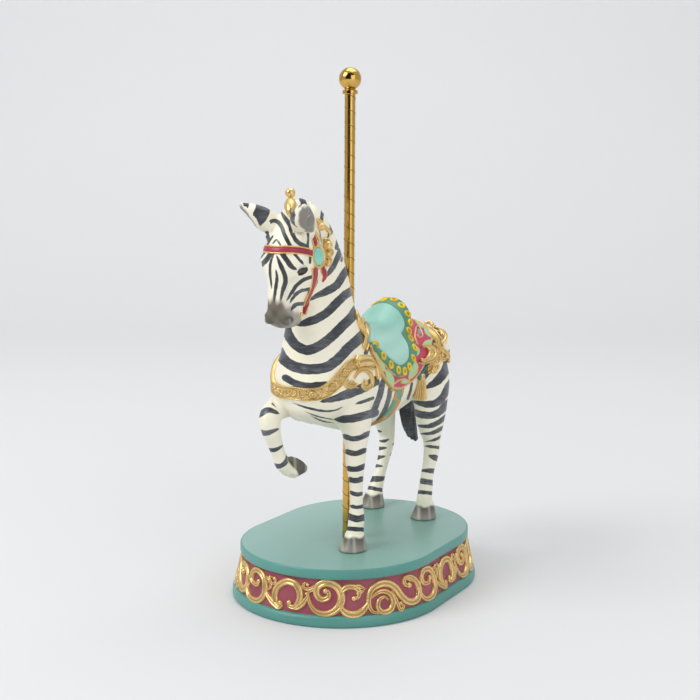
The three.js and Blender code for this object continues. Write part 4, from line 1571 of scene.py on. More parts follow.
    def tail_paint(self, grid: Array, on_tail: Array, stripe: Array) -> Array:
        """Bands on the tail's root and a black brush below.

        Args:
            grid: Points on the figure's grid.
            on_tail: Which of them belong to the tail.
            stripe: Stripes so far.

        Returns:
            The stripes, with the tail's.
        """
        _, share = distance_to_line(grid, TAIL.middle())
        band = np.maximum((share - 0.3) * 60, 2.4 * np.sin(share * 2 * math.pi / 0.1))
        return np.where(on_tail, np.clip(band, -4, 4), stripe)

    def eyes(self) -> None:
        """Glossy dark eyes in brown rims, set in the sockets."""
        place = np.array([16.2, -106.6, 253.2])
        out = unit(np.array([0.83, -0.55, 0.02]))
        along = np.array([0.52, 0.80, 0.26])
        along = unit(along - out * (along @ out))
        frame_of = np.column_stack([along, np.cross(out, along), out])
        lens = ball((0, 0, 0), (5.3, 2.8, 2.3), 28)
        eye = Skin(lens.points @ frame_of.T + place, lens.faces).outward()
        angle = np.linspace(0, 2 * math.pi, 41)[:-1]
        ring = np.column_stack([5.5 * np.cos(angle), 3.0 * np.sin(angle) - 0.25, np.full(40, 0.35)])
        path = ring @ frame_of.T + place
        turn = np.arange(10) / 10 * 2 * math.pi
        lid = 0.75 * np.column_stack([np.cos(turn), np.sin(turn)])
        rings = np.stack([spot + lid @ np.stack([unit(spot - place), out]) for spot in path])
        rim = skin_of(rings, capped=False)
        glossy = Enamel("gloss_varnish_eye_black", "17181a", "2b2724", 1.0, 0.14, (0.8, 0.05)).make()
        adopt(piece("eyes", Skin.joined([eye, eye.mirrored()]), [glossy]), "figure_paint")
        brown = Enamel("acrylic_eyelid_brown", "5a3324", "2c1a14", 1.0, 0.35).make()
        adopt(piece("eyelids", Skin.joined([rim, rim.mirrored()]), [brown]), "figure_paint")


SADDLE_SHEET = Sheet(left=340, top=280, zoom=9.22)
BASE_SHEET = Sheet(left=220, top=500, zoom=5.807)


class Hide:
    """The animal's surface as harness lies on it, without ears or mane."""

    def __init__(self, points: Array, faces: Sequence[Sequence[int]], camera: PhotoCamera) -> None:
        """Keeps the surface.

        Args:
            points: The melted body on the figure's grid.
            faces: Its faces.
            camera: Looks at it along the photograph's rays.
        """
        self.tree = BVHTree.FromPolygons([tuple(p) for p in points.tolist()], faces)
        self.camera = camera

    def snapped(self, points: Array, lift: float = 0.0) -> tuple[Array, Array]:
        """Nearest places on the surface.

        Args:
            points: Rows of grid points.
            lift: Height above the surface.

        Returns:
            The places and the surface's directions there, evened out along the row.
        """
        places, normals = self.nearest(points)
        return self.evened(places, 2) + normals * lift, normals

    def nearest(self, points: Array) -> tuple[Array, Array]:
        """Nearest places on the surface, and its directions there evened out along the row."""
        found = [self.tree.find_nearest(Vector(p)) for p in points.tolist()]
        return np.array([tuple(f[0]) for f in found]), self.evened(np.array([tuple(f[1]) for f in found]))

    def under(self, sheet: Sheet, line: Sequence[Key], count: int, lift: float = 0.0) -> tuple[Array, Array]:
        """Where a line drawn on a sheet falls on the surface.

        Args:
            sheet: The sheet.
            line: Corners of a smooth curve on it.
            count: Number of places along the curve.
            lift: Height above the surface.

        Returns:
            The places and the surface's directions there.
        """
        pixels = sheet.to_frame(smooth_curve(line, count))
        right, up, back, place = self.camera.axes()
        origin = on_grid(place[None])[0]
        half, focal = self.camera.frame_px / 2, self.camera.focal_px
        across, above = (pixels[:, 0] - half) / focal, (half - pixels[:, 1]) / focal
        rays = unit(-back + np.outer(across, right) + np.outer(above, up))
        places = origin + rays * np.array([self.depth(origin, ray) for ray in rays])[:, None]
        _, normals = self.nearest(places)
        return self.evened(places, 1) + normals * lift, normals

    def depth(self, origin: Array, ray: Array) -> float:
        """Distance along a ray to the surface, or to where the ray passes it closest.

        Args:
            origin: Where the ray starts.
            ray: Its direction.

        Returns:
            Millimetres along the ray.
        """
        hit = self.tree.ray_cast(Vector(origin), Vector(ray))
        if hit[0] is not None:
            return hit[3]
        reach = np.linalg.norm(origin)
        steps = np.linspace(reach - 250, reach + 250, 126)
        gaps = [self.tree.find_nearest(Vector(origin + ray * step))[3] for step in steps]
        return float(steps[int(np.argmin(gaps))])

    @staticmethod
    def evened(rows: Array, rounds: int = 6) -> Array:
        """Rows smoothed along their order; unit rows stay unit rows.

        Args:
            rows: Points or directions in order.
            rounds: How often.

        Returns:
            The smoothed rows.
        """
        are_units = np.allclose(np.linalg.norm(rows, axis=1), 1, atol=1e-3)
        for _ in range(rounds):
            rows = np.vstack([rows[:1], (rows[:-2] + 2 * rows[1:-1] + rows[2:]) / 4, rows[-1:]])
        return unit(rows) if are_units else rows


def strap_section(half: float, thick: float, bead: float) -> Array:
    """Cross-section of a flat strap with a bead along each edge.

    Args:
        half: Half its width.
        thick: Height of the flat.
        bead: Radius of the beads.

    Returns:
        Closed outline as rows of [across, out].
    """
    turn = np.linspace(math.pi, 0, 6)
    middle = half - bead
    left = np.column_stack([-middle + bead * np.cos(turn), thick - 0.2 + bead * np.sin(turn)])
    right = left[::-1] * [-1, 1]
    flat = np.linspace(-middle + bead, middle - bead, 7)[1:-1]
    crown = thick - 0.1 + 0.35 * (1 - (flat / middle) ** 2)
    return np.vstack([[-half, -1.6], left, np.column_stack([flat, crown]), right, [half, -1.6]])


@dataclass(frozen=True)
class Sprig:
    """One carved gold scroll: a round or flat band that ends in a ball.

    Attributes:
        sheet: The sheet that it is placed on.
        line: Its middle on the sheet.
        half: Half its width in millimetres.
        lift: Height of its middle above the hide.
        bud: Radius of the ball at its end, or none.
        fade: Share of the width left at its start.
    """

    sheet: Sheet
    line: Sequence[Key]
    half: float
    lift: float = 0.8
    bud: float = 0.0
    fade: float = 0.5

    def skin(self, hide: Hide) -> Skin:
        """Its carved skin, laid over the hide.

        Args:
            hide: What it lies on.

        Returns:
            The closed skins, joined.
        """
        count = 10 * len(self.line)
        path, normals = hide.under(self.sheet, self.line, count, self.lift)
        share = np.linspace(0, 1, count)
        swell = self.fade + (1 - self.fade) * np.sin(np.clip(share * 1.6, 0, 1) * math.pi / 2)
        swell *= 1 - (0.35 if self.bud else 0.75) * smoothstep(share, 0.6, 1)
        section = self.half * np.array([(-1, -0.5), (-1.05, 0), (-0.8, 0.5), (-0.45, 0.72), (-0.2, 0.5),
                                        (0, 0.44), (0.2, 0.5), (0.45, 0.72), (0.8, 0.5), (1.05, 0), (1, -0.5),
                                        (0, -1)])
        parts = [ribbon(path, normals, section, swell)]
        if self.bud:
            parts.append(ball(path[-1] + normals[-1] * self.bud * 0.3, self.bud, 18))
        return Skin.joined(parts)


SPRIGS = [
    Sprig(HEAD_SHEET, [(1226, 1275), (1246, 1370), (1285, 1470), (1318, 1545)], 4.2, 1.2, fade=0.3),
    Sprig(SADDLE_SHEET, [(190, 350), (225, 430), (255, 520), (285, 600), (310, 640)], 2.6, 1.4, fade=0.7),
    Sprig(BODY_SHEET, [(745, 240), (790, 225), (840, 225), (885, 245)], 5.4, 1.6, fade=0.9),
    Sprig(BODY_SHEET, [(752, 200), (742, 235), (756, 272)], 3.0, 3.0, fade=0.9),
    Sprig(BODY_SHEET, [(735, 340), (765, 300), (805, 285), (842, 305), (858, 350), (850, 395), (815, 412),
                       (792, 392), (806, 372)], 2.7, 1.4, 2.8),
    Sprig(BODY_SHEET, [(690, 350), (675, 385), (700, 402), (735, 400), (765, 412)], 2.2, 1.0, fade=0.7),
    Sprig(BODY_SHEET, [(700, 385), (720, 370), (745, 385)], 1.6, 1.4, 1.5),
    Sprig(BODY_SHEET, [(880, 240), (898, 272), (905, 305), (900, 335)], 2.8, 1.0, 2.2),
    Sprig(SADDLE_SHEET, [(765, 440), (785, 405), (820, 400), (848, 425), (865, 450)], 2.2, 1.6, 2.0),
    Sprig(SADDLE_SHEET, [(850, 450), (890, 455), (935, 478), (962, 515), (958, 560), (930, 585)],
          2.4, 1.6, 1.8),
    Sprig(SADDLE_SHEET, [(905, 470), (925, 500), (945, 540)], 1.8, 2.2),
    Sprig(SADDLE_SHEET, [(848, 590), (890, 612), (935, 640), (972, 672), (990, 705), (985, 745)],
          2.4, 1.6, 1.6),
    Sprig(SADDLE_SHEET, [(870, 640), (905, 655), (950, 650), (972, 690), (955, 728), (920, 732), (908, 708),
                         (928, 692)], 1.9, 1.8, 1.6),
    Sprig(SADDLE_SHEET, [(770, 745), (810, 740), (855, 755), (880, 795), (868, 838), (835, 845)],
          2.8, 1.8, 2.0),
    Sprig(SADDLE_SHEET, [(800, 790), (825, 770), (848, 790), (838, 820)], 2.0, 2.4, 1.4),
    Sprig(SADDLE_SHEET, [(800, 610), (845, 640), (862, 690), (835, 735), (790, 750), (745, 770), (700, 770)],
          2.6, 2.6, fade=0.8),
    Sprig(SADDLE_SHEET, [(725, 625), (765, 622), (792, 660), (785, 715), (748, 748), (712, 745)],
          2.2, 4.4, 1.8),
    Sprig(SADDLE_SHEET, [(800, 660), (820, 690), (800, 725), (775, 722)], 2.2, 3.4, 2.2),
    Sprig(HEAD_SHEET, [(842, 385), (868, 410), (880, 440), (872, 462)], 2.4, 1.6, 3.2),
    Sprig(HEAD_SHEET, [(895, 425), (935, 470), (968, 520), (962, 560)], 1.7, 1.0, fade=0.4),
    Sprig(HEAD_SHEET, [(800, 465), (830, 520), (858, 570), (862, 625)], 1.6, 1.2),
    Sprig(HEAD_SHEET, [(905, 585), (930, 590), (950, 620), (935, 640)], 2.6, 1.8, 4.0),
    Sprig(HEAD_SHEET, [(925, 690), (960, 680), (985, 705), (965, 735), (945, 720)], 2.2, 1.4, 2.6),
    Sprig(HEAD_SHEET, [(930, 745), (955, 760), (972, 790), (945, 815)], 2.2, 1.4, 3.0),
]


@dataclass
class Scrollwork:
    """The gold straps over rump and withers, and the carved scrolls beside collar, crupper and headstall.

    Attributes:
        hide: What they lie on.
        sprigs: The scrolls of the near side.
        crupper: Left half of the strap round the rump, from the root of the tail.
        withers: Left half of the strap over the withers.
    """

    hide: Hide
    sprigs: Sequence[Sprig] = tuple(SPRIGS)
    crupper: Sequence[Key] = ((0, 116, 186), (14, 115, 183.6), (27, 113, 175), (36, 108, 163), (39.4, 96, 152),
                              (39.6, 80, 148.6))
    withers: Sequence[Key] = ((0, 10, 205), (13, 5, 201), (23, -6, 193), (29, -19, 186), (32, -29, 181))

    def build(self) -> None:
        """Lays the straps, and every scroll with its mirror image."""
        parts = [sprig.skin(self.hide) for sprig in self.sprigs]
        parts += [part.mirrored() for part in parts]
        for line, half in ((self.crupper, 4.4), (self.withers, 3.6)):
            path = smooth_curve(both_halves(line), 160)
            parts.append(ribbon(*self.hide.snapped(path, 0.3), strap_section(half, 1.3, 1.0)))
        whole = Skin.joined(parts)
        adopt(piece("gold_scrollwork", whole, [Gilding().make()], crease=50), "figure_paint")


@dataclass
class Collar:
    """The breast collar: a wide gold band with rolled rims, rosettes and a running scroll.

    Attributes:
        hide: What it lies on.
        half: Half its width in millimetres.
        path: Its left half from the middle of the chest.
        rosettes: Distance of the rosettes from the middle of the chest.
    """

    hide: Hide
    half: float = 5.6
    path: Sequence[Key] = ((0, -92, 148.6), (12, -90.4, 148.2), (24, -85.4, 150), (30.6, -77.2, 156),
                           (34.4, -69.7, 163), (37.4, -60, 170), (37.6, -48, 171.6), (36.4, -34, 169.6),
                           (36, -22, 167.4))
    rosettes: Sequence[float] = (0.0, 17.0, 34.0, 51.0)

    def build(self) -> None:
        """Sweeps the band and embosses it."""
        path, normals = self.hide.snapped(smooth_curve(both_halves(self.path), 420), 0.4)
        across = np.linspace(-1, 1, 41)
        rim = np.exp(-((np.abs(across) - 0.86) / 0.09) ** 2)
        out = 1.5 + 0.5 * (1 - across ** 2) + 1.5 * rim - 1.2 * smoothstep(np.abs(across), 0.93, 1)
        section = np.vstack([np.column_stack([across * self.half, out]), [[self.half, -2], [-self.half, -2]]])
        skin = ribbon(path, normals, section)
        rings = skin.points[:-2].reshape(len(path), len(section), 3)
        run = np.r_[0, np.cumsum(np.linalg.norm(np.diff(path, axis=0), axis=1))]
        run -= run[-1] / 2
        height = self.relief(run[:, None], across[None] * self.half)
        rings[:, :41] += normals[:, None] * height[..., None]
        skin.points[:-2] = rings.reshape(-1, 3)
        adopt(piece("collar", skin, [Gilding(name="gold_paint_collar", roughness=0.24).make()]),
              "figure_paint")

    def relief(self, run: Array, across: Array) -> Array:
        """Height of the chasing.

        Args:
            run: Distance from the middle of the chest.
            across: Distance from the band's middle.

        Returns:
            Millimetres.
        """
        total = np.zeros(np.broadcast(run, across).shape)
        free = np.ones_like(total)
        scale = self.half / 7
        run, across = run / scale, across / scale
        for place in self.rosettes:
            for side in ((1, -1) if place else (1,)):
                x = run - side * place / scale
                r = np.hypot(x, across)
                petals = 1 + 0.4 * np.cos(8 * np.arctan2(across, x))
                total += 0.9 * petals * np.exp(-((r - 2.7) / 0.9) ** 2) + 1.2 * np.exp(-(r / 1.1) ** 2)
                total -= 0.4 * np.exp(-((r - 4.4) / 0.5) ** 2)
                free *= smoothstep(r, 4.2, 5.6)
        wave = across - 2.6 * np.sin(run / 17 * 4 * math.pi)
        curl = 0.7 * np.exp(-(wave / 0.8) ** 2) - 0.35 * np.exp(-((np.abs(wave) - 1.6) / 0.6) ** 2)
        return total + free * curl * smoothstep(-np.abs(across), -5.4, -4.4)


@dataclass
class Bridle:
    """Red straps with gold edges, the jewelled rosettes, and the gold plume on the poll."""

    hide: Hide
    browband: Sequence[Key] = ((0, -122.4, 271), (12, -117, 270.6), (18.6, -106, 269), (20.2, -96.4, 266.6))
    crown: Sequence[Key] = ((768, 465), (790, 510), (812, 565), (835, 645))
    cheek: Sequence[Key] = ((820, 855), (822, 930), (800, 1040), (765, 1130), (735, 1200), (712, 1310))
    throat: Sequence[Key] = ((885, 845), (915, 900), (925, 945), (905, 1000))
    rosette_place: Key = (20, -87, 263.6)
    rosette: Sequence[Key] = ((0, -4), (9.2, -4), (9.7, -1), (9.7, 0.8), (9.0, 1.9), (8.0, 2.2), (7.2, 1.5),
                              (6.8, 1.0), (0, 1.0))
    plume: Sequence[Key] = ((0, -97, 315.2, 4.3), (0.8, -97.8, 310.8, 1.6), (2.4, -100.4, 308.4, 4.0),
                            (5, -104.4, 304.8, 5.2), (8, -108.4, 300.4, 4.2), (11, -111.4, 295.6, 1.0))

    def build(self) -> None:
        """Makes straps, rosettes, bit rings and plume."""
        straps, colours = [], []
        band = self.hide.snapped(smooth_curve(both_halves(self.browband), 150), 0.3)
        self.add(straps, colours, band, strap_section(3.4, 1.0, 0.62), np.ones(150))
        crown = self.hide.under(HEAD_SHEET, self.crown, 50, 0.4)
        cheek = self.hide.under(HEAD_SHEET, self.cheek, 110, 0.9)
        throat = self.hide.under(HEAD_SHEET, self.throat, 40, 0.3)
        for path, half, widths in ((crown, 3.4, np.ones(50)), (cheek, 4.1, np.linspace(1, 0.9, 110)),
                                   (throat, 3.6, np.sqrt(np.linspace(1, 0.05, 40)))):
            for side in (1, -1):
                flipped = (path[0] * [side, 1, 1], path[1] * [side, 1, 1])
                self.add(straps, colours, flipped, strap_section(half, 0.9, 0.32), widths)
        red = Enamel("acrylic_strap_red", "bb3a54", "8c2238", 2.0, 0.36).make()
        made = piece("bridle", Skin.joined(straps), [red, Gilding(name="gold_paint_bridle").make()],
                     slot_of=np.concatenate(colours), crease=60)
        adopt(made, "figure_paint")
        self.jewels()

    def add(self, straps: list[Skin], colours: list[Array], laid: tuple[Array, Array], section: Array,
            widths: Array) -> None:
        """Adds one strap, its beads gold and its flat red.

        Args:
            straps: Gets the skin.
            colours: Gets the slot of each face.
            laid: Places and directions along the strap.
            section: Its cross-section.
            widths: Scale of the section at each place.
        """
        skin = ribbon(laid[0], laid[1], section, widths)
        count, around = len(laid[0]), len(section)
        gold = np.array([1 if i < 6 or i >= around - 7 else 0 for i in range(around)])
        slots = np.concatenate([np.tile(gold, count - 1), np.ones(2 * around, int)])
        straps.append(skin)
        colours.append(slots[:len(skin.faces)])

    def jewels(self) -> None:
        """The turquoise cabochons in gold frames, and the plume."""
        gold, stones = [], []
        frame = turned(self.rosette, 48)
        stone = ball((0, 0, 0.7), (6.9, 6.9, 2.7), 36)
        lean = np.array(Matrix.Rotation(math.radians(86), 3, "Y"))
        lean = np.array(Matrix.Rotation(math.radians(-6), 3, "Z")) @ lean
        tall = np.diag([1.08, 0.98, 1.0])
        for part, bag in ((frame, gold), (stone, stones)):
            placed = Skin(part.points @ (lean @ tall).T + self.rosette_place, part.faces).outward()
            bag += [placed, placed.mirrored()]
        ball_key, *drop = self.plume
        gold.append(ball(ball_key[:3], ball_key[3], 32))
        gold.append(tube([(x, y, z, r, r) for x, y, z, r in drop], 50, 28))
        gold.append(tube([(0, -97.2, 312, 1.6, 1.6), (0, -97.6, 309, 1.6, 1.6), (0.2, -98.4, 307, 1.6, 1.6)],
                         8, 16))
        for side in (1, -1):
            gold.append(ball((side * 12.8, -101, 216.6), 1.9, 16))
        adopt(piece("bridle_gold", Skin.joined(gold),
                    [Gilding(name="gold_paint_bright", roughness=0.22).make()]), "figure_paint")
        turquoise = Enamel("gloss_enamel_turquoise", "9fdcca", "7cc4b4", 4.0, 0.2).make()
        adopt(piece("cabochons", Skin.joined(stones), [turquoise]), "figure_paint")


MM_PER_DEGREE = 0.72  # width of a degree round the barrel, where a covering is charted flat


class Flank:
    """Chart over the barrel: along the back, and round it from the spine."""

    def __init__(self) -> None:
        """Samples the barrel's sections."""
        rows = smooth_curve(BARREL.keys, 300)
        self.rows = rows[np.argsort(rows[:, 1])]

    def place(self, y: Array, angle: Array, lift: Array) -> Array:
        """Point on the figure's grid.

        Args:
            y: Place along the back.
            angle: Degrees round from the spine, towards the animal's left.
            lift: Height above the barrel.

        Returns:
            Points in the last axis.
        """
        height, across, deep = (np.interp(y, self.rows[:, 1], self.rows[:, k]) for k in (2, 3, 4))
        a = np.radians(angle)
        normal = unit(np.stack([np.sin(a) * deep, np.zeros_like(a), np.cos(a) * across], axis=-1))
        base = np.stack([across * np.sin(a), y, height + deep * np.cos(a)], axis=-1)
        return base + normal * lift[..., None]


@dataclass
class Covering:
    """A cloth, seat or girth over the barrel between a front and a back edge.

    Attributes:
        name: The piece's name.
        front: Front edge as degrees and place along the back, left half.
        back: Back edge likewise.
        steps: Rows round the barrel and along the back.
        root: How deep its underside goes into the barrel.
    """

    name: str
    front: Sequence[Key]
    back: Sequence[Key]
    steps: tuple[int, int] = (300, 150)
    root: float = 3.0

    def edges(self, angle: Array) -> tuple[Array, Array]:
        """Front and back edge at the given degrees.

        Args:
            angle: Degrees from the spine.

        Returns:
            Places along the back.
        """
        both = []
        for keys in (self.front, self.back):
            table = smooth_curve(keys, 200)
            both.append(np.interp(np.abs(angle), table[:, 0], table[:, 1]))
        return both[0], both[1]

    def chart(self, low: float, high: float) -> tuple[Array, Array, Array]:
        """Degrees, place along the back and distance to the edge in millimetres, as grids.

        Args:
            low: First degree.
            high: Last degree.

        Returns:
            The three grids.
        """
        around, along = self.steps
        angle = np.linspace(low, high, around)
        front, back = self.edges(angle)
        share = (1 - np.cos(np.linspace(0, math.pi, along))) / 2 * 0.25 + np.linspace(0, 1, along) * 0.75
        y = front[:, None] + (back - front)[:, None] * share
        angle = np.repeat(angle[:, None], along, 1)
        outline = np.vstack([np.column_stack([angle[:, 0] * MM_PER_DEGREE, front]),
                             np.column_stack([angle[::-1, 0] * MM_PER_DEGREE, back[::-1]])])
        outline = np.vstack([outline[::3], outline[:1]])
        gap, _ = distance_to_line(np.column_stack([angle.ravel() * MM_PER_DEGREE, y.ravel()]), outline)
        return angle, y, gap.reshape(angle.shape)

    def skin(self, flank: Flank, angle: Array, y: Array, lift: Array) -> tuple[Skin, int]:
        """Closed skin over a chart, and how many points of each ring are on top.

        Args:
            flank: The barrel's chart.
            angle: Degrees.
            y: Places along the back.
            lift: Heights above the barrel.

        Returns:
            The skin and the count.
        """
        top = flank.place(y, angle, lift)
        under = flank.place(y[:, ::-1][:, ::10], angle[:, ::10], np.full(angle[:, ::10].shape, -self.root))
        return skin_of(np.concatenate([top, under], axis=1)), angle.shape[1]


@dataclass
class Saddle:
    """Saddle cloth, heart-backed seat with its ringed border, and girth.

    Attributes:
        camera: Places the painting.
        flank: The barrel's chart.
        cloth_edges: Front and back edge of the cloth, as degrees from the spine and place along the back.
        seat_edges: Those of the seat.
        border_edge: Inner line of the seat's ringed border.
        cantle_rise: Height of the seat's back over the rest.
        rings: Middles of the border's rings, on the saddle's sheet like all the painting below.
    """

    camera: PhotoCamera
    flank: Flank = field(default_factory=Flank)
    cloth_edges: Sequence[Sequence[Key]] = (
        ((0, 7), (20, 2), (40, -13), (58, -21), (70, -18), (86, -11), (94, -3), (102, 8)),
        ((0, 109), (30, 107), (56, 103), (74, 83), (86, 66), (94, 52), (98, 38), (102, 22)))
    seat_edges: Sequence[Sequence[Key]] = (
        ((0, 20), (20, 8), (38, -10), (50, -19), (66, -15), (76, -5), (88, 13)),
        ((0, 84), (12, 83), (24, 80), (30, 76), (38, 67), (50, 67), (60, 65), (74, 50), (84, 35), (88, 24)))
    border_edge: Sequence[Key] = (
        (0, 67.5), (10, 66), (19, 65.5), (28.5, 62.5), (33.5, 56), (37, 49.5), (49, 48.5), (60.5, 43),
        (69.5, 34.5), (74.5, 17.5), (69, 4), (60.5, -8.5), (50, -17.5))
    cantle_rise: float = 20.5
    leaves: Sequence[Stroke] = (
        Stroke([(682, 343), (735, 382), (772, 440)], 32, Taper.BOTH),
        Stroke([(779, 432), (819, 479), (843, 530)], 34, Taper.BOTH),
        Stroke([(755, 612), (797, 594), (840, 555)], 32, Taper.BOTH),
        Stroke([(704, 612), (718, 656), (709, 700)], 17, Taper.BOTH),
        Stroke([(690, 745), (684, 820), (636, 915)], 36, Taper.BOTH),
        Stroke([(318, 668), (360, 735), (412, 845)], 26, Taper.BOTH),
        Stroke([(420, 825), (458, 900), (482, 1010)], 32, Taper.BOTH),
        Stroke([(560, 945), (605, 935), (640, 925)], 20, Taper.BOTH),
    )
    gold_lines: Sequence[Stroke] = (
        Stroke([(300, 600), (360, 710), (430, 800), (500, 870), (560, 885), (610, 870)], 8),
        Stroke([(700, 440), (722, 418), (750, 465), (762, 512), (740, 530), (712, 505)], 5),
        Stroke([(700, 450), (692, 520), (715, 590)], 6),
        Stroke([(505, 950), (540, 925), (600, 915), (640, 940)], 9),
        Stroke([(640, 900), (690, 850), (720, 800)], 6),
    )
    teal_drop: Sequence[Stroke] = (Stroke([(725, 445), (735, 480), (730, 505)], 12, Taper.BOTH),)
    dark_red: Sequence[Stroke] = (Stroke([(702, 405), (725, 440), (742, 480)], 9, Taper.BOTH),)
    rings: Sequence[Key] = (
        (405, 180), (500, 182), (570, 235), (625, 310), (648, 395), (635, 465), (652, 535), (688, 625),
        (676, 720), (638, 800), (595, 840), (538, 832), (470, 780), (400, 700), (325, 600))
    panels: Sequence[Stroke] = (Stroke([(552, 965), (546, 1080)], 24), Stroke([(506, 1130), (427, 1245)], 21))

    def build(self) -> None:
        """Makes cloth, seat, rings and girth."""
        self.cloth()
        self.seat()
        self.girth()

    def marks(self, points: Array, strokes: Sequence[Stroke]) -> Array:
        """Coverage by strokes of the saddle sheet, the far side as the near side's mirror image.

        Args:
            points: Rows of grid points.
            strokes: What is painted.

        Returns:
            A share for each point.
        """
        near = points.copy()
        near[:, 0] = np.abs(near[:, 0])
        pixels = self.camera.seen(in_metres(near))
        inside = np.max([stroke.cover(pixels, SADDLE_SHEET) for stroke in strokes], axis=0)
        return smoothstep(inside, -0.3, 0.3)

    def cloth(self) -> None:
        """The carved saddle cloth: red, with green leaves and gold edges."""
        covering = Covering("saddle_cloth", *self.cloth_edges)
        angle, y, gap = covering.chart(-102, 102)
        flat = self.flank.place(y, angle, np.full(angle.shape, 2.6)).reshape(-1, 3)
        leaf = self.marks(flat, self.leaves).reshape(angle.shape)
        line = self.marks(flat, self.gold_lines).reshape(angle.shape)
        rope = np.exp(-((gap - 1.4) / 0.9) ** 2)
        lift = 2.4 * np.sqrt(1 - (1 - np.clip(gap / 1.5, 0, 1)) ** 2) + 0.9 * rope
        lift += 0.8 * np.maximum(leaf, line) * smoothstep(gap, 2, 3)
        skin, top = covering.skin(self.flank, angle, y, lift)
        made = piece("saddle_cloth", skin, [PaintedCloth().make()])
        red, green, gold, teal, wine = paints("c4435e", "a9d098", "e6bf80", "5fa9ad", "8f2438")
        rim = smoothstep(-gap, -2.7, -2.2)
        colour = red
        for share, tone in ((leaf.ravel(), green), (self.marks(flat, self.dark_red), wine),
                            (self.marks(flat, self.teal_drop), teal), (line.ravel(), gold),
                            (rim.ravel(), gold)):
            colour = blend(colour, tone, share)
        gilt = np.maximum(line, rim)
        self.colour(made, skin, top, colour.reshape(*angle.shape, 3), gilt * 0.75, gold)
        adopt(made, "figure_paint")

    def colour(self, made: Object, skin: Skin, top: int, colour: Array, gilt: Array, rest: Array) -> None:
        """Stores paint and gilt for the top of a covering, and a plain tone for its root.

        Args:
            made: The covering.
            skin: Its skin.
            top: How many points of a ring are on top.
            colour: Paint of the top.
            gilt: Share of gold there.
            rest: Tone of the root.
        """
        rows = colour.shape[0]
        ring = (len(skin.points) - 2) // rows
        paint = np.broadcast_to(rest, (rows, ring, 3)).copy()
        shine = np.zeros((rows, ring))
        paint[:, :top] = colour
        shine[:, :top] = gilt
        give_colour(made.data, "paint", np.vstack([paint.reshape(-1, 3), rest, rest]))
        give(made.data, "gilt", np.r_[shine.ravel(), 0, 0])

    def seat(self) -> None:
        """The turquoise seat with its high back and the green border of yellow rings."""
        covering = Covering("saddle_seat", *self.seat_edges, steps=(280, 160))
        angle, y, gap = covering.chart(-88, 88)
        rise = (1 - smoothstep(np.abs(angle), 2, 50)) * self.cantle_rise * smoothstep(y, 28, 80)
        inner = smooth_curve(self.border_edge, 120) * [MM_PER_DEGREE, 1]
        inner = np.vstack([inner, [30, -40], [-60, -40], [-60, self.border_edge[0][1]]])
        inside = self.within(np.column_stack([np.abs(angle).ravel() * MM_PER_DEGREE, y.ravel()]), inner)
        inside = inside.reshape(angle.shape)
        border = 1 - smoothstep(inside, -0.3, 0.3)
        round_edge = np.sqrt(1 - (1 - np.clip(gap / 2.6, 0, 1)) ** 2)
        groove = 0.5 * np.exp(-((inside + 0.6) / 0.6) ** 2)
        lift = (4.6 + rise) * round_edge + 1.0 * smoothstep(inside, -0.4, 1.6) - groove
        skin, top = covering.skin(self.flank, angle, y, lift)
        made = piece("saddle_seat", skin, [PaintedCloth(name="painted_seat_turquoise", roughness=0.34).make()])
        aqua, pale, dark = paints("86bdae", "b2dccf", "4c8a70")
        soft = np.clip(smoothstep(np.abs(angle), 12, 52) * 0.75 + 0.12 * np.sin(angle * 0.3 + y * 0.1), 0, 1)
        colour = blend(blend(aqua, pale, soft), dark, border)
        self.colour(made, skin, top, colour, np.zeros(angle.shape), dark)
        adopt(made, "figure_paint")
        self.ring_border(made, top, angle.shape[0])

    def ring_border(self, seat: Object, top: int, rows: int) -> None:
        """Small yellow rings on the seat's border, placed on the near side and mirrored.

        Args:
            seat: The seat's piece.
            top: How many points of a ring are on top.
            rows: Number of rings.
        """
        points, normals = (all_rows[:-2].reshape(rows, -1, 3)[:, :top].reshape(-1, 3)
                           for all_rows in (vertex_positions(seat.data), vertex_normals(seat.data)))
        pixels = self.camera.seen(points)
        shown = self.camera.facing(points, normals) > 0.08
        places, ways = [], []
        for spot in SADDLE_SHEET.to_frame(self.rings):
            gap = np.linalg.norm(pixels - spot, axis=1) + np.where(shown, 0, 1e3)
            k = int(np.argmin(gap))
            places.append(points[k] - normals[k] * 0.1 * MM)
            ways.append(normals[k])
            if points[k, 0] - AXIS_X > 4 * MM:
                places.append(points[k] * [-1, 1, 1] + [2 * AXIS_X, 0, 0])
                ways.append(normals[k] * [-1, 1, 1])
        yellow = Enamel("acrylic_ring_yellow", "f2cf1e", "c99d12", 1.5, 0.4).make()
        adopt(RingBorder(np.array(places), np.array(ways)).build(yellow), "figure_paint")

    @staticmethod
    def within(points: Array, outline: Array) -> Array:
        """Signed distance to a closed outline in the plane, positive inside.

        Args:
            points: Rows of points.
            outline: Corners of the outline.

        Returns:
            The distance of each point.
        """
        gap, _ = distance_to_line(points, np.vstack([outline, outline[:1]]))
        following = np.roll(outline, -1, axis=0)
        crossings = np.zeros(len(points), int)
        for (x0, y0), (x1, y1) in zip(outline, following):
            spans = (y0 > points[:, 1]) != (y1 > points[:, 1])
            cut = x0 + (points[:, 1] - y0) * (x1 - x0) / (y1 - y0 if y1 != y0 else 1)
            crossings += spans & (points[:, 0] < cut)
        return np.where(crossings % 2 == 1, gap, -gap)

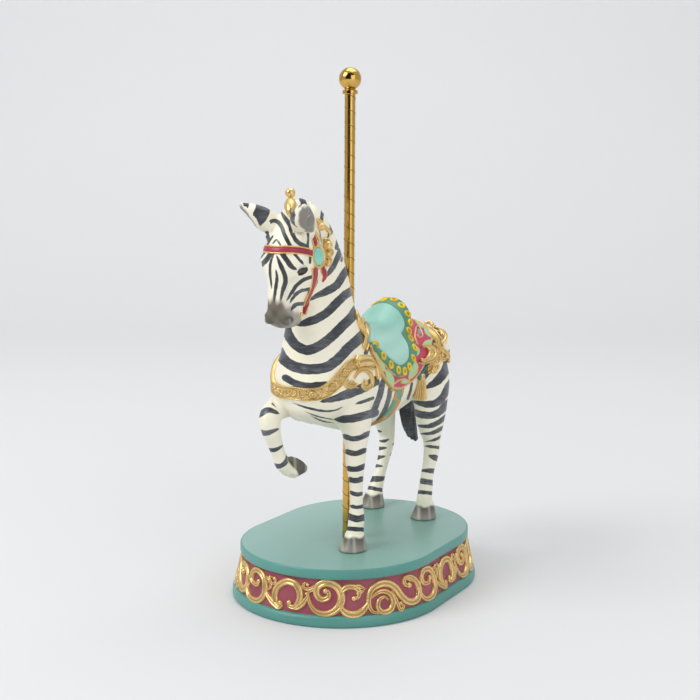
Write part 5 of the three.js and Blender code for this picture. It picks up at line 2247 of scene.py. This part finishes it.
    def girth(self) -> None:
        """The girth band under the belly, gold with green panels."""
        covering = Covering("girth", ((96, 17), (180, 17), (264, 17)), ((96, 31), (180, 31), (264, 31)),
                            steps=(260, 40))
        around, along = covering.steps
        angle = np.repeat(np.linspace(96, 264, around)[:, None], along, 1)
        y = np.repeat(np.linspace(17, 31, along)[None], around, 0)
        gap = np.minimum(y - 17, 31 - y)
        lift = 1.8 * np.sqrt(1 - (1 - np.clip(gap / 1.4, 0, 1)) ** 2) + 0.6 * np.exp(-((gap - 1.6) / 0.8) ** 2)
        flat = self.flank.place(y, angle, np.full(angle.shape, 1.8)).reshape(-1, 3)
        panel = self.marks(flat, self.panels).reshape(angle.shape)
        lift = lift - 0.5 * panel
        skin, top = covering.skin(self.flank, angle, y, lift)
        made = piece("girth", skin, [PaintedCloth(name="painted_girth").make()])
        gold, green = paints("d2a56a", "6f9f83")
        self.colour(made, skin, top, blend(gold, green, panel), (1 - panel) * 0.7, gold)
        adopt(made, "figure_paint")


@dataclass
class RingBorder:
    """Small raised rings, one at each given place."""

    places: Array
    ways: Array
    ring_mm: float = 2.75
    cord_mm: float = 1.25

    def build(self, material: Material) -> Object:
        """Sets a ring on every place with Geometry Nodes and bakes the result.

        Args:
            material: The rings' paint.

        Returns:
            The finished piece.
        """
        tree, start = growth("ring_border", "Ring Radius", "Cord Radius")
        way = node(tree, "GeometryNodeInputNamedAttribute", {"Name": "way"}, data_type="FLOAT_VECTOR")
        turn = node(tree, "FunctionNodeAlignRotationToVector", {"Vector": way.outputs[0]}, axis="Z")
        loop, cord = (node(tree, "GeometryNodeCurvePrimitiveCircle",
                           {"Resolution": count, "Radius": start.outputs[radius]}).outputs[0]
                      for count, radius in ((22, "Ring Radius"), (9, "Cord Radius")))
        ring = node(tree, "GeometryNodeCurveToMesh", {"Curve": loop, "Profile Curve": cord})
        rings = node(tree, "GeometryNodeInstanceOnPoints", {
            "Points": start.outputs["Geometry"], "Instance": ring.outputs[0], "Rotation": turn.outputs[0]})
        mesh = bpy.data.meshes.new("ring_places")
        mesh.from_pydata(self.places.tolist(), [], [])
        layer = mesh.attributes.new("way", "FLOAT_VECTOR", "POINT")
        layer.data.foreach_set("vector", self.ways.astype(np.float32).ravel())
        return grown("ring_border", mesh, tree, start, rings, {
            "Ring Radius": self.ring_mm * MM, "Cord Radius": self.cord_mm * MM, "Finish": material})


def growth(name: str, *numbers: str) -> tuple[Tree, Node]:
    """Starts a Geometry Nodes tree that takes a geometry, some numbers and a finish.

    Args:
        name: The tree's name.
        numbers: Names of its numbers.

    Returns:
        The tree and its input node.
    """
    tree = bpy.data.node_groups.new(name, "GeometryNodeTree")
    for title, kind in (("Geometry", "Geometry"), *((number, "Float") for number in numbers),
                        ("Finish", "Material")):
        tree.interface.new_socket(title, in_out="INPUT", socket_type="NodeSocket" + kind)
    tree.interface.new_socket("Geometry", in_out="OUTPUT", socket_type="NodeSocketGeometry")
    return tree, node(tree, "NodeGroupInput")


def grown(name: str, mesh: Mesh, tree: Tree, start: Node, last: Node, inputs: dict) -> Object:
    """Ends a Geometry Nodes tree, runs it over a mesh and keeps the plain result.

    Args:
        name: Name of the finished piece.
        mesh: What the tree starts from.
        tree: The node tree.
        start: Its input node.
        last: The node that makes the shape.
        inputs: Values by the names of its inputs.

    Returns:
        The finished piece at the origin.
    """
    real = node(tree, "GeometryNodeRealizeInstances", {"Geometry": last.outputs[0]})
    dressed = node(tree, "GeometryNodeSetMaterial", {"Geometry": real.outputs[0],
                                                     "Material": start.outputs["Finish"]})
    node(tree, "NodeGroupOutput", {0: dressed.outputs[0]})
    holder = added(name, mesh)
    modifier = holder.modifiers.new("grow", "NODES")
    modifier.node_group = tree
    for item in tree.interface.items_tree:
        if item.item_type == "SOCKET" and item.in_out == "INPUT" and item.name in inputs:
            modifier[item.identifier] = inputs[item.name]
    holder.update_tag()
    graph = bpy.context.evaluated_depsgraph_get()
    made = bpy.data.meshes.new_from_object(holder.evaluated_get(graph))
    holder.modifiers.remove(modifier)
    holder.data = made
    bpy.data.meshes.remove(mesh)
    smoothed(made)
    return holder


@dataclass
class Tassel:
    """Gold tassel on a teal cord knot, one on each flank."""

    hide: Hide
    knot: Sequence[Key] = ((788, 782), (766, 822), (742, 850), (728, 878), (740, 912), (762, 902), (758, 866),
                           (732, 862), (716, 890), (730, 922), (756, 916), (764, 886))
    strands: int = 16
    keys: Sequence[Key] = ((40.6, 65.8, 146.5, 2.4, 2.4), (40.4, 66.2, 142, 3.8, 3.6),
                           (39.8, 67, 135, 4.4, 4.4), (38.8, 68.2, 128, 5.2, 5.2), (38, 69, 123, 6.2, 6.2))

    def build(self) -> None:
        """Makes cords and tassels."""
        path, normals = self.hide.under(SADDLE_SHEET, self.knot, 140, 1.6)
        cord = ribbon(path, normals, 1.25 * np.column_stack([np.cos(np.arange(10) * math.pi / 5),
                                                             np.sin(np.arange(10) * math.pi / 5)]))
        teal = Enamel("acrylic_cord_teal", "2f7f8c", "1d5661", 1.5, 0.4).make()
        adopt(piece("tassel_cords", Skin.joined([cord, cord.mirrored()]), [teal]), "figure_paint")
        steps, sides = 40, 96
        fringe = tube(self.keys, steps, sides)
        rings = fringe.points[:-2].reshape(steps + 1, sides, 3)
        turn = np.arange(sides) / sides * 2 * math.pi
        share = np.linspace(0, 1, steps + 1)
        pleat = 1 + 0.09 * np.cos(turn * self.strands)[None] * smoothstep(share, 0.15, 0.35)[:, None]
        middle = rings.mean(1, keepdims=True)
        rings = middle + (rings - middle) * pleat[..., None]
        fringe.points[:-2] = rings.reshape(-1, 3)
        collar = ball((40.6, 65.8, 145.6), (3.4, 3.4, 1.8), 20)
        parts = [fringe, collar]
        gold = Gilding(name="gold_paint_tassel", brush_mm=1.0).make()
        adopt(piece("tassels", Skin.joined(parts + [p.mirrored() for p in parts]), [gold]), "figure_paint")


@dataclass
class Plinth:
    """The oval stand: moulded foot, burgundy frieze with gold scrolls, and thick slab.

    Attributes:
        camera: Places the scrolls.
        radius: Of the two round ends, in millimetres at the slab's edge.
        shift: Distance of the ends' centres from the middle.
        profile: Section as [outset, height], bottom to top.
        frieze_heights: Foot and top of the leaning frieze.
        frieze_outset: How far its foot stands out beyond the slab's edge, and its top back from it.
        scroll_height: Relief of the scrolls.
        repeats: How often the pattern goes round.
    """

    camera: PhotoCamera
    radius: float = 90.9
    shift: float = 31.1
    profile: Sequence[Key] = (
        (5.4, 0), (5.9, 0.1), (6.6, 0.6), (7.1, 1.6), (7.35, 3), (7.4, 4.5), (7.2, 6.2), (6.8, 7.8),
        (6.0, 9.0), (4.8, 9.8), (3.4, 10), (3.2, 10.1), (-3.2, 39.9), (-3.0, 40), (-0.9, 40), (-0.5, 40.2),
        (0, 41), (0, 47.2), (-0.2, 48), (-0.7, 48.6), (-1.6, 48.7))
    frieze_heights: tuple[float, float] = (10, 40)
    frieze_outset: float = 3.2
    scroll_height: float = 2.6
    repeats: int = 4
    arc_steps: int = 110
    straight_steps: int = 16

    def outline(self, outset: Array | float) -> Array:
        """Points round the stand, from the front centre towards its left, in millimetres.

        Args:
            outset: Distance out from the slab's edge.

        Returns:
            Rows of x and y.
        """
        arc = np.linspace(0, math.pi / 2, self.arc_steps // 2 + 1)
        r = self.radius + outset
        quarter = np.column_stack([r * np.sin(arc), -self.shift - r * np.cos(arc)])
        side = np.linspace(-self.shift, 0, self.straight_steps // 2 + 1)[1:]
        quarter = np.vstack([quarter, np.column_stack([np.full(len(side), r), side])])
        half = np.vstack([quarter, (quarter * [1, -1])[-2::-1]])
        return np.vstack([half, (half * [-1, 1])[-2:0:-1]])

    def build(self) -> None:
        """Makes the stand and its scrolls."""
        rings = np.stack([np.column_stack([self.outline(outset), np.full(len(self.outline(0)), z)])
                          for outset, z in self.profile])
        skin = skin_of(rings)
        heights = [z for _, z in self.profile]
        low, high = self.frieze_heights
        bands = [int(low <= under and over <= high) for under, over in zip(heights, heights[1:])]
        slots = np.r_[np.repeat(bands, rings.shape[1]), np.tile([0, 2], rings.shape[1])]
        teal = Enamel("acrylic_stand_teal", "5e9e94", "4d8c83", 14, 0.34).make()
        # Painted reflection: the slab's top takes a lighter copy of the sides' teal, for the white room
        # mirrored in its satin paint
        top = Enamel("acrylic_stand_top_painted_reflection", "88b2a8", "76a298", 22, 0.3).make()
        wine = Enamel("acrylic_frieze_burgundy", "a34f5e", "8c3f4e", 5, 0.4).make()
        made = piece("stand", Skin(skin.points * MM, skin.faces), [teal, wine, top], grid=False, slot_of=slots,
                     crease=35)
        adopt(made, "plinth_paint", "plinth")
        self.scrolls()

    def on_frieze(self, run: Array, height: Array, lift: Array) -> Array:
        """Point on the frieze.

        Args:
            run: Distance from the front centre along the frieze's foot line, in millimetres.
            height: Height above the foot.
            lift: Distance out from the frieze.

        Returns:
            Points in millimetres in the last axis.
        """
        low, high = self.frieze_heights
        lean = 2 * self.frieze_outset
        slope = math.atan2(lean, high - low)
        r = self.radius + self.frieze_outset - lean * height / (high - low) + lift * math.cos(slope)
        arc, leg = self.radius * math.pi / 2, 2 * self.shift
        corners = np.cumsum([0, arc, leg, 2 * arc, leg, arc])
        run = np.mod(run, corners[-1])
        angle = np.interp(run, corners, np.array([0, 1, 1, 3, 3, 4]) * math.pi / 2)
        centre = np.interp(run, corners, np.array([-1, -1, 1, 1, -1, -1]) * self.shift)
        return np.stack([r * np.sin(angle), centre - r * np.cos(angle), low + height + lift * math.sin(slope)],
                        axis=-1)

    def scrolls(self) -> None:
        """Carves the running scroll and repeats it round the stand."""
        length = (4 * self.radius * math.pi / 2 + 4 * self.shift) / self.repeats
        run, height = np.meshgrid(np.linspace(-40, 240, 1400), np.linspace(-1, 31, 90), indexing="ij")
        pixels = self.camera.seen(self.on_frieze(run, height, np.full(run.shape, 1.5)).reshape(-1, 3) * MM)
        chart = np.column_stack([run.ravel(), height.ravel()])
        parts = []
        for line, half, bud in FRIEZE_SCROLLS:
            spots = BASE_SHEET.to_frame(smooth_curve(line, 9 * len(line)))
            path = np.array([chart[int(np.argmin(np.sum((pixels - spot) ** 2, axis=1)))] for spot in spots])
            path = Hide.evened(path + [0, 1e-6], 4)
            for k in range(self.repeats):
                parts += self.band(path + [k * length, 0], half, bud)
        gold = Gilding(name="gold_paint_frieze", gold="f2cf8e", roughness=0.26).make()
        whole = Skin.joined(parts)
        adopt(piece("frieze_scrolls", Skin(whole.points * MM, whole.faces), [gold], grid=False),
              "plinth_paint")

    def band(self, path: Array, half: float, bud: float) -> list[Skin]:
        """One grooved band along a path in the frieze's chart, with its bud.

        Args:
            path: Rows of run and height.
            half: Half the band's width.
            bud: Radius of the ball at its end, or none.

        Returns:
            The skins.
        """
        section = np.array([(-1, -0.4), (-1, 0.1), (-0.86, 0.62), (-0.62, 0.95), (-0.4, 0.98), (-0.2, 0.74),
                            (0, 0.62), (0.2, 0.74), (0.4, 0.98), (0.62, 0.95), (0.86, 0.62), (1, 0.1),
                            (1, -0.4)])
        share = np.linspace(0, 1, len(path))
        swell = half * np.minimum(1, 0.35 + 2.2 * share)
        swell = swell * (1 - (0.45 if bud else 0.6) * smoothstep(share, 0.55, 1))
        along = np.gradient(path, axis=0)
        along /= np.linalg.norm(along, axis=1, keepdims=True) + 1e-9
        across = np.column_stack([-along[:, 1], along[:, 0]])
        flat = path[:, None] + across[:, None] * (section[None, :, :1] * swell[:, None, None])
        lift = section[None, :, 1] * self.scroll_height * np.minimum(1, 0.4 + swell / 3.4)[:, None]
        rings = self.on_frieze(flat[..., 0], flat[..., 1], lift)
        skins = [skin_of(rings)]
        if bud:
            centre = self.on_frieze(path[-1:, 0], path[-1:, 1], np.array([self.scroll_height * 0.45]))[0]
            skins.append(ball(centre, bud, 18))
        return skins


FRIEZE_SCROLLS = (
    ([(352, 590), (340, 614), (322, 592), (316, 545), (334, 500), (385, 472), (438, 490), (462, 540),
      (456, 588), (430, 622), (402, 616), (400, 594)], 3.3, 2.1),
    ([(262, 520), (280, 560), (310, 600), (338, 622), (352, 612), (350, 596)], 2.5, 2.2),
    ([(418, 632), (452, 622), (488, 590), (512, 548)], 2.7, 0),
    ([(560, 492), (530, 512), (498, 518), (482, 500), (492, 484), (508, 492)], 1.6, 1.5),
    ([(560, 515), (530, 525), (500, 545)], 1.5, 1.4),
    ([(508, 535), (520, 600), (562, 652), (625, 662), (680, 634), (706, 578), (692, 522), (650, 487),
      (600, 482), (563, 508), (560, 550), (590, 578), (626, 568), (630, 540), (612, 530)], 3.5, 2.2),
    ([(690, 575), (712, 640), (760, 668), (815, 657), (852, 617), (872, 570)], 3.4, 0),
    ([(706, 610), (702, 548), (732, 510), (780, 506), (808, 530), (802, 566), (778, 572)], 2.5, 2.2),
    ([(770, 520), (800, 502), (845, 518)], 2.2, 0),
    ([(790, 545), (815, 535), (838, 528)], 1.8, 0),
    ([(950, 655), (888, 650), (864, 598), (876, 530), (920, 492), (975, 484), (1022, 510), (1058, 560),
      (1102, 592), (1146, 580), (1160, 528), (1140, 470), (1100, 446), (1068, 462), (1078, 492), (1098, 496)],
     3.4, 2.6),
    ([(875, 575), (905, 545), (950, 530), (992, 548), (1008, 592), (990, 640), (945, 652), (918, 620),
      (926, 580), (958, 562), (980, 580)], 2.7, 0),
    ([(1000, 520), (1015, 560), (1032, 600), (1050, 640), (1068, 615), (1050, 600)], 1.9, 1.7),
    ([(1140, 470), (1110, 462), (1082, 455), (1058, 480)], 2.0, 0),
    ([(1160, 470), (1166, 540), (1196, 575), (1235, 560), (1252, 510), (1242, 440), (1215, 400), (1186, 405),
      (1170, 445), (1184, 482), (1214, 478), (1216, 450)], 3.1, 2.2),
    ([(1252, 470), (1262, 430), (1248, 395), (1232, 400), (1240, 418)], 1.6, 1.6),
    ([(1240, 420), (1268, 400), (1262, 372), (1246, 380)], 1.4, 1.4),
)


@dataclass
class Pole:
    """Brass pole with its scored spiral, and the ball finial.

    Attributes:
        radius_mm: Of the tube.
        pitch_mm: Rise of the spiral in one turn.
        score_mm: Half width of the scored line.
        finial: Collar and ball as [radius, height above the pole's top].
    """

    radius_mm: float = 4.75
    pitch_mm: float = 12.8
    score_mm: float = 0.34
    finial: Sequence[Key] = ((0, -1), (6.3, -1), (6.7, -0.6), (6.7, 1.8), (6.3, 2.4), (5.2, 2.7), (4.6, 3.2))
    ball_mm: float = 9.85
    ball_height: float = 12.2

    def build(self) -> None:
        """Makes tube, spiral and finial."""
        low, high = POLE_LOW[2] / MM, POLE_HIGH[2] / MM
        r = self.radius_mm
        tube_skin = turned([(0, low), (r, low), (r, low + 0.5), (r, high - 0.5), (r, high), (0, high)], 64)
        brass = PolishedBrass().make()
        made = piece("brass_pole", self.placed(tube_skin), [brass], grid=False, crease=30)
        adopt(made, "polished_brass", "pole")
        self.score()
        polar = np.linspace(0.86, 0, 26) * math.pi
        knob = [(self.ball_mm * math.sin(a),
                 high + self.ball_height + self.ball_mm * math.cos(a)) for a in polar]
        profile = [(x, high + z) for x, z in self.finial] + knob[1:]
        top = piece("brass_finial", self.placed(turned(profile, 64)),
                    [PolishedBrass(name="polished_brass_ball", roughness=0.12).make()], grid=False, crease=30)
        adopt(top, "polished_brass", "ball_finial")

    def placed(self, skin: Skin) -> Skin:
        """Moves a turned skin to the pole's axis, in metres."""
        return Skin(skin.points * MM + [AXIS_X, AXIS_Y, 0], skin.faces)

    def score(self) -> None:
        """The dark line that winds up the tube, grown along a spiral with Geometry Nodes."""
        tree, start = growth("scored_spiral", "Turns", "Radius", "Rise", "Line Radius")
        spiral = node(tree, "GeometryNodeCurveSpiral", {
            "Resolution": 36, "Rotations": start.outputs["Turns"], "Start Radius": start.outputs["Radius"],
            "End Radius": start.outputs["Radius"], "Height": start.outputs["Rise"]})
        cord = node(tree, "GeometryNodeCurvePrimitiveCircle", {"Resolution": 6,
                                                               "Radius": start.outputs["Line Radius"]})
        line = node(tree, "GeometryNodeCurveToMesh",
                    {"Curve": spiral.outputs[0], "Profile Curve": cord.outputs[0],
                                                      "Fill Caps": True})
        moved = node(tree, "GeometryNodeTransform", {"Geometry": line.outputs[0],
                                                     "Translation": (AXIS_X, AXIS_Y, PLINTH_TOP)})
        rise = POLE_HIGH[2] - PLINTH_TOP - 1.0 * MM
        dark = Gilding(name="scored_line_brown", gold="7a5a2a", shade="4a3415", roughness=0.4).make()
        made = grown("pole_spiral", bpy.data.meshes.new("spiral_start"), tree, start, moved, {
            "Turns": rise / (self.pitch_mm * MM), "Radius": (self.radius_mm - 0.12) * MM, "Rise": rise,
            "Line Radius": self.score_mm * MM, "Finish": dark})
        adopt(made, "polished_brass")


def main() -> None:
    """Builds the scene piece by piece."""
    logging.basicConfig(level=logging.INFO, format="%(message)s")
    camera = PhotoCamera()
    camera.build()
    Studio().build(camera)
    Plinth(camera).build()
    Pole().build()
    zebra = Zebra(camera)
    zebra.build()
    Saddle(camera).build()
    Collar(zebra.hide).build()
    Bridle(zebra.hide).build()
    Scrollwork(zebra.hide).build()
    Tassel(zebra.hide).build()


if __name__ == "__main__":
    main()
